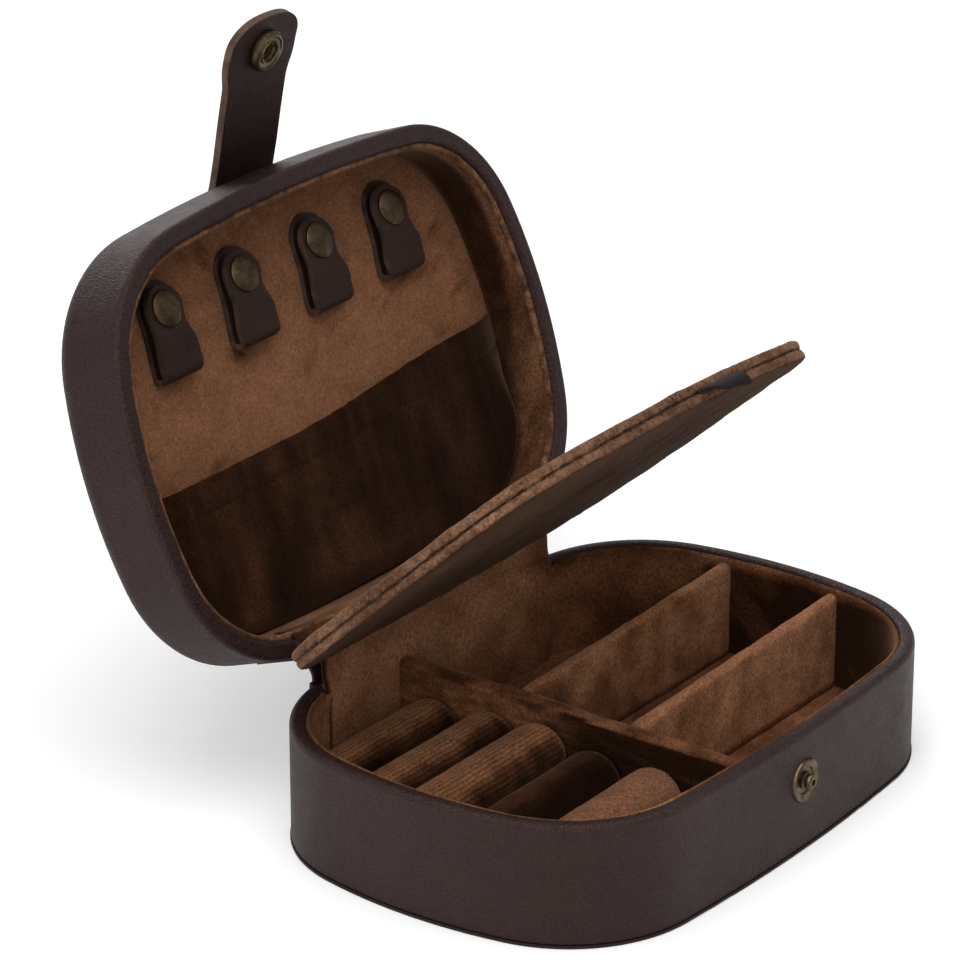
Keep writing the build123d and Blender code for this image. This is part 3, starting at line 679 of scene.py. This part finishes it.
def makeRolls():
    radius, floor = rolls["radius"], rolls["floor"]
    for index, crest in enumerate(rolls["crests"]):
        y = rolls["middles"][index]
        bm = bmesh.new()
        number = bm.verts.layers.int.new("number")
        ring = bmesh.ops.create_circle(bm, segments=44, radius=radius)["verts"]
        low = (crest - radius - floor) / radius
        section = []
        for count, vert in enumerate(ring):
            vert[number] = count
            across, up = vert.co.x, vert.co.y
            section.append((across, crest - radius + up) if up > 0 else (across * 0.98, crest - radius + up * low))
        firstLoop = loop = bm.edges[:]
        # the first steps round the padded end off beside the divider
        shoulder = [(rolls["rounded"] * (1 - math.cos(k * math.pi / 12)),
                     rolls["rounded"] * (1 - math.sin(k * math.pi / 12))) for k in range(7)]
        for step in range(rolls["steps"] + 7):
            if step:
                ring, loop = growRing(bm, loop)
            along = max(0, step - 6) / rolls["steps"]
            inner, drawn = shoulder[min(step, 6)]
            for vert in ring:
                across, height = section[vert[number]]
                far = wallX(y + across, rolls["inset"], "left")
                near = rolls["right"] - inner
                x = near + (far - near) * along
                inward = 1 - drawn / radius
                middle = (crest + floor) / 2 - 1
                if height > middle:
                    height = middle + (height - middle) * inward
                vert.co = (x, y + across * inward, height)
        for end in (firstLoop, loop):
            bmesh.ops.contextual_create(bm, geom=end)
        bmesh.ops.triangulate(bm, faces=[face for face in bm.faces if len(face.verts) > 4])
        held = wallX(y, rolls["inset"], "left") + 2.5
        bm = inflate(bm, rolls, lambda place: place.z < floor + 1.2 or place.x < held)
        around = bm.verts.layers.float.new("around")
        for vert in bm.verts:
            vert[around] = math.atan2(vert.co.y - y, vert.co.z - crest + radius) * radius
            if vert.co.z > floor + 3:
                vert.co.z += 0.25 * ripple(vert.co.x / 9 + index * 5, vert.co.y / 8, vert.co.z / 8)
        lit = rolls["lit"][index]
        # painted light on each roll's rear and upper side and on its end by the divider, painted shade on its front
        # side, by which way each point faces
        paintNapAndLight(bm, lambda co, normal: max(-1.3, min(0.7, 3.0 * (normal.y + lit)))
                 + 0.8 * smoothStep(0.05, 0.4, normal.x) + 0.45 * noise.noise(co / 7))
        piece = finishPiece(bm, f"ringRollCushion{index + 1}", rolls["looks"][index], "base",
                            (f"ring_roll_{index + 1}",), subdivide=1)


makeBaseLining()
makeDividers()
makeRolls()
print("base lined, divided and rolled")


# the lid's lining, pocket and loops


lidLining = {"inset": 6.6, "lipInset": 5.5, "low": 37.0, "step": 42.4, "beadRadius": 0.95}


def lidWallLightAndShade(co, normal):
    # on the right end the wall gets painted shade deep in the lid, and near the rim painted light at the front
    # turning to painted shade towards the hinge; the hinge side gets neither
    patch = ripple(co.x / 9, co.y / 9, co.z / 7)
    fuzz = ripple(co.x / 1.6, co.y / 1.6, co.z / 2.4)
    side = max(0.0, min(1.0, (co.x - 36) / 22)) if co.y < 50 else 0.0
    # the band near the rim widens towards the hinge
    band = 41.3 + 9.0 * smoothStep(-20, 38, co.y)
    dark = smoothStep(band - 1.2, band + 1.4, co.z + 1.2 * patch)
    lit = 0.35 - 1.1 * smoothStep(-30, 10, co.y)
    return -1.45 * side * dark + lit * side * (1 - dark) + 0.45 * patch + 0.35 * fuzz


def panelNap(co, normal):
    # rubbed smudges cross the panel
    smudge = ripple(co.x / 7, co.y / 5, 3.0)
    fine = ripple(co.x / 2.2, co.y / 3.0, 8.0)
    return 0.25 - max(0.0, smudge - 0.2) * 2.2 - max(0.0, fine - 0.3) * 1.8


def makeLidLining():
    inner, lip = lidLining["inset"], lidLining["lipInset"]
    low, high = lidLining["low"], box["panelZ"]
    profile = [(lip, lidLining["step"]), (lip, low + 0.9), (lip + 0.3, low + 0.1), (inner - 0.2, low),
               (inner, low + 0.7)]
    profile += [(inner, low + 0.7 + k * (high - low - 1.4) / 6) for k in range(1, 6)]
    profile += [(inner + 0.05, high - 0.4), (inner - 1.0, high + 0.3)]
    bm = wrapRound(profile)
    soften(bm, 0.14, 9.0, 21.0)
    paintNapAndLight(bm, lidWallLightAndShade)
    piece = finishPiece(bm, "lidWallVelvet", wallVelvet, "lid", ("lid_velvet_wall",))

    profile = [(inner - 2.0, high + 0.5), (inner - 1.0, high + 0.15), (inner + 0.6, high - 0.05), (inner + 2.5, high)]
    profile += [(inner + 2.5, high, 0.08 * k) for k in range(1, 12)] + [(inner + 2.5, high, 0.985)]
    bm = wrapRound(profile, cap=True)
    soften(bm, 0.35, 14.0, 33.0)
    paintNapAndLight(bm, panelNap)
    piece = finishPiece(bm, "lidPanelVelvet", panelVelvet, "lid", ("lid_velvet_panel",))

    bead = lidLining["beadRadius"]
    profile = [(inner - 0.6 + bead * math.cos(k * math.pi / 5), low + 0.4 + bead * math.sin(k * math.pi / 5))
               for k in range(10)]
    bm = wrapRound(profile, count=300)
    soften(bm, 0.16, 2.4, 41.0)
    paintNapAndLight(bm, lambda co, normal: 1.1 * ripple(co.x / 2.2, co.y / 2.2, co.z / 4))
    piece = finishPiece(bm, "lidSeamBead", seamVelvet, "lid", ("lid_velvet_bead",))


pocket = {
    "top": 7.6, "bottom": 55.0, "inset": 7.2, "depth": 6.6, "hem": 8.0, "gathers": 0.6, "columns": 150, "rows": 52,
    "dip": 5.4, "hemLift": 0.5, "stitches": 74,
}


def pocketSurface(u, v):
    # u runs along the hem from -1 to 1 and v from the hem's edge, 0, to the hinge side, 1
    top = pocket["top"] - pocket["dip"] * smoothStep(-0.25, 0.8, u)
    y = top + (pocket["bottom"] - top) * v
    half = wallX(min(y, 55.4), pocket["inset"], "right")
    x = u * half
    # the hem's ends are sewn down to the panel, so the cloth stands off only further in
    edge = min(1.0, (1 - abs(u)) * half / (4.0 + 16.0 * smoothStep(0.6, 0.0, v)))
    foot = min(1.0, (1 - v) * (pocket["bottom"] - top) / 7.0)
    swell = math.sin(edge * math.pi / 2) * (0.35 + 0.65 * math.sin(foot * math.pi / 2))
    gather = ripple(x / 6.5, v * 1.1, 5.0) + 0.6 * ripple(x / 3.1, v * 2.0, 9.0)
    slack = ripple(x / 24, y / 17, 2.0)
    fade = math.exp(-v * 2.6)
    wave = pocket["gathers"] * gather * (0.35 + fade) + 1.1 * slack * math.sin(v * math.pi)
    z = box["panelZ"] - 0.6 - (pocket["depth"] - 0.6) * swell - wave * edge * foot * 0.7
    return x, y, min(z, box["panelZ"] - 0.5)


def pocketNapAndLight(co, normal):
    # painted soft highlights where the slack cloth would lean up, stronger towards the pocket's bottom, and darker
    # towards the right
    fold = ripple(co.x / 20, co.y / 34, 6.0)
    crease = ripple(co.x / 6.5, co.y / 26, 2.0)
    low = max(0.0, min(1.0, (co.y - 24) / 26))
    return -0.35 + 1.7 * fold * (0.35 + low) + 0.5 * crease - 0.5 * max(0.0, co.x - 10) / 60


def makePocket():
    bm = makeGrid(pocket["columns"], pocket["rows"])
    for vert in bm.verts:
        u, v = vert.co.x, ((vert.co.y + 1) / 2) ** 1.25
        x, y, z = pocketSurface(u, v)
        down = v * (pocket["bottom"] - pocket["top"])
        if down < pocket["hem"]:
            z -= pocket["hemLift"] * math.sin(math.pi * down / pocket["hem"]) ** 0.5 * min(1.0, (1 - abs(u)) * 12)
        elif down < pocket["hem"] + 1.4:
            z += 0.35
        vert.co = (x, y, z)
    paintNapAndLight(bm, pocketNapAndLight)
    piece = finishPiece(bm, "lidPocketVelvet", pocketVelvet, "lid", ("lid_pocket", "lid_pocket_hem"))
    addModifier(piece, "SOLIDIFY", thickness=0.0008, offset=0.0)
    # the row of stitches that holds the elastic in the hem
    bm = bmesh.new()
    share = (pocket["hem"] + 0.5) / (pocket["bottom"] - pocket["top"])
    for index in range(pocket["stitches"]):
        x, y, z = pocketSurface(-0.9 + 1.8 * (index + 0.5) / pocket["stitches"], share)
        made = bmesh.ops.create_icosphere(bm, subdivisions=1, radius=0.14)["verts"]
        bmesh.ops.scale(bm, verts=made, vec=(3.6, 1.0, 1.0))
        bmesh.ops.translate(bm, verts=made, vec=(x, y, z - 0.1))
    finishPiece(bm, "pocketHemStitches", pocketVelvet, "lid")


loops = {
    "pitch": 33.0, "count": 4, "width": 15.6, "thick": 1.4, "foldY": -23.3, "eye": 3.1, "topY": -46.0, "lean": 8.0,
    "head": 6.9, "waist": 1.5, "backWider": -1.0, "backHigher": 0.6, "fold": 1.85, "past": 1.4,
    "corner": 1.2, "drawn": 1.8,
}


def makeLoops():
    backZ = box["panelZ"] - loops["thick"] / 2 - 0.05
    top = loops["topY"] - loops["backHigher"]
    reach = loops["foldY"] - top
    lean = math.radians(loops["lean"])
    fold, past, head = loops["fold"], loops["past"], loops["head"]
    points = [(top + reach * (1 - math.cos(k / 18 * math.pi / 2)), backZ) for k in range(18)]
    points += [(loops["foldY"] + past + fold * math.cos(a), backZ - fold + fold * math.sin(a))
               for a in [math.pi / 2 - k * math.pi / 14 for k in range(15)]]
    frontLong = loops["foldY"] - loops["topY"] - 0.6
    for k in range(1, 28):
        far = frontLong * math.sin(k / 27 * math.pi / 2)
        # the front leaf rises straight from the fold, then lies under the cap
        soft, stiff = backZ - 2 * fold, backZ - 2 * loops["eye"] + far * math.sin(lean)
        points.append((loops["foldY"] + past * (1 - far / frontLong) - far * math.cos(lean),
                       soft + (stiff - soft) * smoothStep(2, 12, far)))
    total = pathLengths(points)[-1]

    def waistAt(fromFront):
        # the front leaf is cut in below its head, on the right only
        return loops["waist"] * smoothStep(5.5, 11.0, fromFront) * smoothStep(19.0, 12.0, fromFront)

    def widthAt(distance):
        fromFront = total - distance
        if fromFront < distance:
            if fromFront < head:
                return max(1.0, 2 * math.sqrt(max(0.0, head ** 2 - (head - fromFront) ** 2)))
            apex = abs(distance - reach - past - math.pi * fold / 2)
            return (2 * head + (loops["width"] - 2 * head) * smoothStep(10.5, 18.0, fromFront)
                    - waistAt(fromFront) - loops["corner"] * smoothStep(3.2, 0.4, apex))
        half = loops["width"] / 2 + loops["backWider"] / 2
        rounding = math.sqrt(max(0.0, 1 - max(0.0, (half - distance) / half) ** 2))
        return max(1.2, (loops["width"] + loops["backWider"] * smoothStep(reach + 1, reach - 9, distance)) * rounding)

    def middleAt(distance):
        # the back leaf shows past the front one on the left
        wider = (loops["width"] / 2 - head) * smoothStep(10.5, 18.0, total - distance)
        return 0.6 * smoothStep(reach + 1, reach - 9, distance) - waistAt(total - distance) / 2 + wider * 0.6

    for index in range(loops["count"]):
        x = (index - (loops["count"] - 1) / 2) * loops["pitch"]
        bm = stripBetween(points, widthAt, 12, lambda distance: x + middleAt(distance))
        for vert in bm.verts:
            if vert.co.z < backZ - fold:
                vert.co.z -= ripple(vert.co.x / 8, vert.co.y / 8, index * 3.0) * 0.25
            vert.co.x += ripple(vert.co.x / 7, vert.co.y / 7, index * 7.0) * 0.15
        number = index + 1
        piece = finishPiece(bm, f"snapLoop{number}", [loopLeather, loopEdge], None,
                            [f"loop_{number}_{part}" for part in ("back_leaf", "fold", "front_leaf")],
                            turn="lid")
        thickenLeather(piece, loops["drawn"], 0.3, 3)
        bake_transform(piece)


makeLidLining()
makePocket()
makeLoops()
print("lid lined, pocket and loops sewn in")


# the closing strap


strap = {
    "x": 1.2, "rootX": 4.6, "thick": 2.2, "restAngle": 35.0, "snapAngle": 93.0, "reach": 32.3, "tip": 10.3,
    "rootWidth": 25.0, "neckWidth": 25.2, "headWidth": 28.4, "rootRound": 8.0, "tipRound": 8.4, "bow": -0.45,
    "rootY": -34.0, "standOff": 3.9, "snapZ": 20.7, "edgeRadius": 6.0,
}


def strapPivot():
    snapped = math.radians(strap["snapAngle"])
    half = strap["thick"] / 2
    footY = -box["depth"] / 2 - strap["standOff"]
    return (footY + strap["reach"] * math.cos(snapped) - half * math.sin(snapped),
            strap["snapZ"] + strap["reach"] * math.sin(snapped) + half * math.cos(snapped))


def makeStrap():
    pivotY, pivotZ = strapPivot()
    rest = math.radians(strap["restAngle"])
    outY, outZ = -math.cos(rest), -math.sin(rest)
    inY, inZ = math.sin(rest), -math.cos(rest)
    arcY, arcZ = -box["depth"] / 2 + strap["edgeRadius"], box["lidTop"] - strap["edgeRadius"]
    middle = (arcY - pivotY) * inY + (arcZ - pivotZ) * inZ
    points = [(strap["rootY"] + (arcY - strap["rootY"]) * (1 - math.cos(k / 16 * math.pi / 2)), arcZ + middle)
              for k in range(16)]
    points += [(arcY + middle * math.cos(a), arcZ + middle * math.sin(a))
               for a in [math.pi / 2 + k * rest / 8 for k in range(9)]]
    tangent = (arcY - middle * inY, arcZ - middle * inZ)
    toPivot = math.hypot(pivotY - tangent[0], pivotZ - tangent[1])
    straight = toPivot + strap["reach"] + strap["tip"]
    for k in range(1, 56):
        far = straight * math.sin(k / 55 * math.pi / 2)
        past = max(0.0, far - toPivot) / (strap["reach"] + strap["tip"])
        bow = strap["bow"] * math.sin(past * math.pi)
        points.append((tangent[0] + outY * far + inY * bow, tangent[1] + outZ * far + inZ * bow))
    total = pathLengths(points)[-1]
    tipRound, rootRound = strap["tipRound"], strap["rootRound"]

    def widthAt(distance):
        fromTip = total - distance
        if fromTip < tipRound:
            return max(1.5, strap["headWidth"] * math.sin(math.acos(max(0.0, 1 - fromTip / tipRound))) ** 0.8)
        if distance < rootRound:
            rounding = math.sqrt(max(0.01, 1 - ((rootRound - distance) / rootRound) ** 2)) ** 0.7
            return max(2.0, strap["rootWidth"] * rounding)
        return strap["headWidth"] + (strap["neckWidth"] - strap["headWidth"]) * smoothStep(13, 22, fromTip)

    def centreAt(distance):
        # the strap leans from its root to its snap
        back = (total - distance - strap["tip"]) / strap["reach"]
        return strap["x"] + (strap["rootX"] - strap["x"]) * min(1.0, max(0.0, back) / 1.25)

    bm = stripBetween(points, widthAt, 18, centreAt)
    piece = finishPiece(bm, "closingStrap", [strapLeather, rawEdge], None, ("strap_root", "strap_end"), turn="lid")
    thickenLeather(piece, strap["thick"], 0.35, 2)
    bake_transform(piece)


makeStrap()
print("strap cut")


# the flap, its ribbon and the velvet that hinges it


flap = {
    "inset": 7.4, "under": 34.9, "thick": 6.0, "lips": 2.95, "groove": 0.8, "wobble": 0.28,
    "sag": 4.2, "curl": 5.8, "bow": 0.6, "droop": 0.7, "thinner": 0.12,
}


def flapBend(x, y):
    # the padded board sags near its hinge and curls up towards its free edge, and at the right it bows a little
    share = min(1.0, max(0.0, (box["hingeY"] - y) / 120))
    left = flap["curl"] * share ** 2 - flap["sag"] * share
    right = flap["bow"] * math.sin(share * math.pi) - flap["droop"] * share ** 2
    return left + (right - left) * smoothStep(0, 75, x)


def flapNapAndShade(co, normal):
    middle = flap["under"] + flap["thick"] / 2 + flapBend(co.x, co.y)
    off = abs(co.z - middle)
    patch = ripple(co.x / 12, co.y / 12, co.z / 9)
    tuft = ripple(co.x / 1.5, co.y / 1.5, co.z / 1.5)
    if abs(normal.z) > 0.9 and off > 2.0:
        # the tufts are as fine as the rim's rings, so the flat middle only has the wide patches
        tuft = 0.0
        patch *= min(1.0, math.hypot(co.x / 80, co.y / 50))
    # the seam between the lips is painted dark in broken dashes, painted shade in its groove, fading out towards the
    # hinge
    if off < 0.3:
        return (-1.9 if ripple(co.x / 2.6, co.y / 2.6, 7.0) > -0.12 else -0.1) * smoothStep(48, 34, co.y)
    if co.z < middle and normal.z < -0.75:
        return 0.35 * patch + 0.25 * co.x / 80
    # painted shade along the groove's edges, lighter further out on the lips
    return (-0.1 if off < 0.8 else 0.4) + 0.5 * patch + 1.1 * tuft


def makeFlap():
    inset, groove, lips = flap["inset"], flap["groove"], flap["lips"]
    middle = flap["under"] + flap["thick"] / 2
    for name, side in (("flapLowerPad", -1), ("flapUpperPad", 1)):
        profile = [(inset + groove + 1.2, middle - side * 0.03), (inset + groove, middle + side * 0.02),
                   (inset + 0.34, middle + side * 0.14), (inset + 0.14, middle + side * 0.4),
                   (inset + 0.03, middle + side * 0.85), (inset, middle + side * 1.5),
                   (inset + 0.1, middle + side * 2.1), (inset + 0.5, middle + side * 2.65),
                   (inset + 1.3, middle + side * (lips - 0.05)),
                   (inset + 2.6, middle + side * lips), (inset + 4.5, middle + side * lips)]
        profile += [(inset + 4.5, middle + side * (lips - 0.25 * math.sin(k / 12 * math.pi)), 0.08 * k)
                    for k in range(1, 12)] + [(inset + 4.5, middle + side * lips, 0.985)]
        bm = wrapRound(profile, count=480, cap=True)
        soften(bm, flap["wobble"], 9.0, 50.0 + side * 5)
        soften(bm, 0.34, 1.5, 60.0 + side * 5, lambda co: 1.0 if abs(co.z - middle) < 2.8 else 0.15)
        for vert in bm.verts:
            # the lips run together where the flap meets its hinge
            thinner = 1 - flap["thinner"] * smoothStep(14, 50, vert.co.y)
            vert.co.z = middle + (vert.co.z - middle) * thinner + flapBend(vert.co.x, vert.co.y)
        paintNapAndLight(bm, flapNapAndShade)
        # the lower pad's downward faces take the darker underside velvet, painted shade
        for face in bm.faces:
            face.material_index = 1 if side < 0 and face.normal.z < -0.8 else 0
        node = "flap_lower_pad" if side < 0 else "flap_upper_pad"
        piece = finishPiece(bm, name, [flapVelvet, shadedUnderVelvet], "flap", (node,))


ribbon = {
    "start": 9.5, "width": 20.0, "long": 7.2, "curl": 1.45, "apart": 0.5, "thick": 0.35, "grow": 8.0, "pressX": 16.0,
}


def makeRibbonPull():
    middle = flap["under"] + flap["thick"] / 2
    bm = makeGrid(48, 44)
    around = bm.verts.layers.float.new("around")
    for vert in bm.verts:
        u, v = (vert.co.x + 1) / 2, vert.co.y
        side = vert[around] = u * ribbon["width"]
        # v runs out along the lower layer, round the fold and back along the upper one
        out = 1 - abs(v)
        full = 0.12 + 0.88 * smoothStep(0, ribbon["grow"], side)
        size = ribbon["long"] * full * out
        turn = ribbon["curl"] * (0.75 + 0.25 * u) * out * full
        reach = size * math.sin(turn) / turn if turn > 1e-4 else size
        drop = size * (1 - math.cos(turn)) / turn if turn > 1e-4 else 0.0
        layer = ribbon["apart"] * (math.copysign(1, v) if abs(v) > 1e-6 else 0.0) * math.sqrt(max(0.0, 1 - out ** 4))
        swell = 0.5 * math.sin(u * math.pi) * out
        x = ribbon["start"] + side - 3.6 * out * u
        y = -box["depth"] / 2 + flap["inset"] + 0.9
        z = middle + layer * math.cos(turn) + swell - drop + 0.14 * ripple(u * 3, v * 2, 1.0)
        vert.co = (x, y - reach - layer * math.sin(turn), z + flapBend(x, y))
        vert.co.y += (vert.co.x ** 2) / (2 * box["sideRadius"])
    piece = finishPiece(bm, "ribbonPull", ribbonBlack, "flap", ("flap_ribbon_pull",))
    addModifier(piece, "SOLIDIFY", thickness=ribbon["thick"] / 1000, offset=0.0)
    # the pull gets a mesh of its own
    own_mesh(piece)


hingeStrip = {"half": 51.6, "columns": 60}


def curvedStrip(name, path, turns):
    # a velvet strip as long as the notch; the back's curve turns with it from one body to the other
    rows, half = len(path) - 1, hingeStrip["half"]
    lower = not turns[0]
    bm = makeGrid(hingeStrip["columns"], rows)
    for vert in bm.verts:
        row = round((vert.co.y + 1) / 2 * rows)
        x = vert.co.x * half
        sag = x * x / (2 * box["sideRadius"])
        turn = math.radians(turns[0] + (turns[1] - turns[0]) * (row / rows) ** 2)
        y, z = path[row]
        # the lower strip's ends tuck in behind the wall, the upper one's stay inside the closed lid
        tuck = 0.7 * smoothStep(half - 0.9, half, abs(x))
        if not lower:
            tuck = -1.3 * smoothStep(22, 52, abs(x)) * math.sin(row / rows * math.pi)
        vert.co = (x, y + tuck - sag * math.cos(turn), z + sag * math.sin(turn))
    soften(bm, 0.2, 8.0, 80.0 + turns[1])
    # painted shadow line along the strip's left edge; painted light on the lower strip and painted shade on the upper
    # one, darker towards the right
    paintNapAndLight(bm, lambda co, normal: -2.0 if co.x < 0.9 - half else (0.75 if lower else -0.9)
             + 0.9 * ripple(co.x / 14, co.y / 9, co.z / 9) - 0.9 * smoothStep(30, 75, co.x))
    piece = finishPiece(bm, name, liningVelvet)
    addModifier(piece, "SOLIDIFY", thickness=0.0007, offset=0.0)
    area = sum(face.area for face in piece.data.polygons)
    print(name, "is cut", round(area * 1e4, 1), "square centimetres")
    bpy.context.view_layer.update()
    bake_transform(piece)
    return piece


def makeHingeStrips():
    # the lower strip climbs the back wall, crosses the rim and runs on into the flap's seam
    path = [(56.95, 4.2 + 1.4 * k) for k in range(20)]
    path += [(57.15, 32.6), (57.5, 33.9), (57.9, 35.2), (58.2, 36.6), (58.3, 38.0), (58.25, 39.4), (58.2, 40.8),
             (58.4, 42.2), (58.9, 43.2)]
    piece = curvedStrip("lowerHingeVelvet", path, (0, box["flapOpen"]))
    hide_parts("velvet_hinge_base", "flap_hinge_tab")
    # the upper one runs from the flap over the hinge line to the lid's lining
    path = [(60.3, 44.6), (61.4, 44.6), (62.4, 44.0), (63.4, 43.2), (64.5, 42.9), (65.6, 43.1), (66.7, 43.8),
            (67.8, 44.4), (69.0, 44.5), (70.2, 44.2), (71.4, 43.8), (72.6, 43.4)]
    piece = curvedStrip("upperHingeVelvet", path, (box["flapOpen"], box["lidOpen"]))
    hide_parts("velvet_hinge_lid", "velvet_hinge_fold")


makeFlap()
makeRibbonPull()
makeHingeStrips()
print("flap padded")


# camera, floor and light


view = {
    "azimuth": -53.827, "elevation": 22.930, "distance": 1280.7, "lens": 177.88, "aim": (-0.481, 42.264, 80.858),
}


def makeCamera():
    camera = bpy.data.cameras.new("photoCamera")
    camera.lens, camera.sensor_width = view["lens"], 36.0
    holder = placeObject("photoCamera", camera)
    azimuth, elevation = math.radians(view["azimuth"]), math.radians(view["elevation"])
    back = Vector((math.sin(azimuth) * math.cos(elevation), -math.cos(azimuth) * math.cos(elevation),
                   math.sin(elevation)))
    holder.location = (Vector(view["aim"]) + back * view["distance"]) / 1000
    holder.rotation_euler = back.to_track_quat("Z", "Y").to_euler()
    camera.clip_end = 30.0
    bpy.context.scene.camera = holder


def makeStage():
    bm = bmesh.new()
    bmesh.ops.create_circle(bm, cap_ends=True, segments=64, radius=6.0)
    floor = placeObject("paleFloor", meshFrom(bm, "paleFloor"))
    material = bpy.data.materials.new("paleFloor")
    material.use_nodes = True
    tree = material.node_tree
    tree.nodes.clear()
    matte = setNode(tree, "BsdfDiffuse", {"Color": (0.88, 0.88, 0.88, 1.0)}).outputs[0]
    glow = setNode(tree, "Emission", {"Color": (1, 1, 1, 1), "Strength": 0.22}).outputs[0]
    plain = setNode(tree, "AddShader", {0: matte, 1: glow}).outputs[0]
    # only the camera sees the floor's glow, so it doesn't light the object
    seen = setNode(tree, "LightPath", {}).outputs["Is Camera Ray"]
    mixed = setNode(tree, "MixShader", {0: seen, 1: matte, 2: plain}).outputs[0]
    setNode(tree, "OutputMaterial", {"Surface": mixed})
    floor.data.materials.append(material)


lamps = {
    "above": {"place": (-0.35, -0.25, 1.5), "size": 1.3, "power": 15.0},
    "side": {"place": (-1.5, -0.5, 0.9), "size": 1.1, "power": 9.0},
    "rear": {"place": (0.9, 1.4, 0.9), "size": 1.2, "power": 9.0},
}


def makeLight():
    for name, lamp in lamps.items():
        light = bpy.data.lights.new(name + "Softbox", "AREA")
        light.energy, light.size = lamp["power"], lamp["size"]
        holder = placeObject(name + "Softbox", light)
        holder.location = lamp["place"]
        aim = Vector((0, 0.03, 0.06)) - holder.location
        holder.rotation_euler = aim.to_track_quat("-Z", "Y").to_euler()
    world = bpy.data.worlds.new("studio")
    bpy.context.scene.world = world
    world.use_nodes = True
    tree = world.node_tree
    seen = setNode(tree, "LightPath", {}).outputs["Is Camera Ray"]
    setSockets(tree, tree.nodes["Background"], {
        "Color": (1, 1, 1, 1), "Strength": mapRange(tree, seen, 0.0, 1.0, 0.42, 1.0)})


makeCamera()
makeStage()
makeLight()
bpy.context.scene.view_settings.view_transform = "Standard"
print("camera, floor and light set")
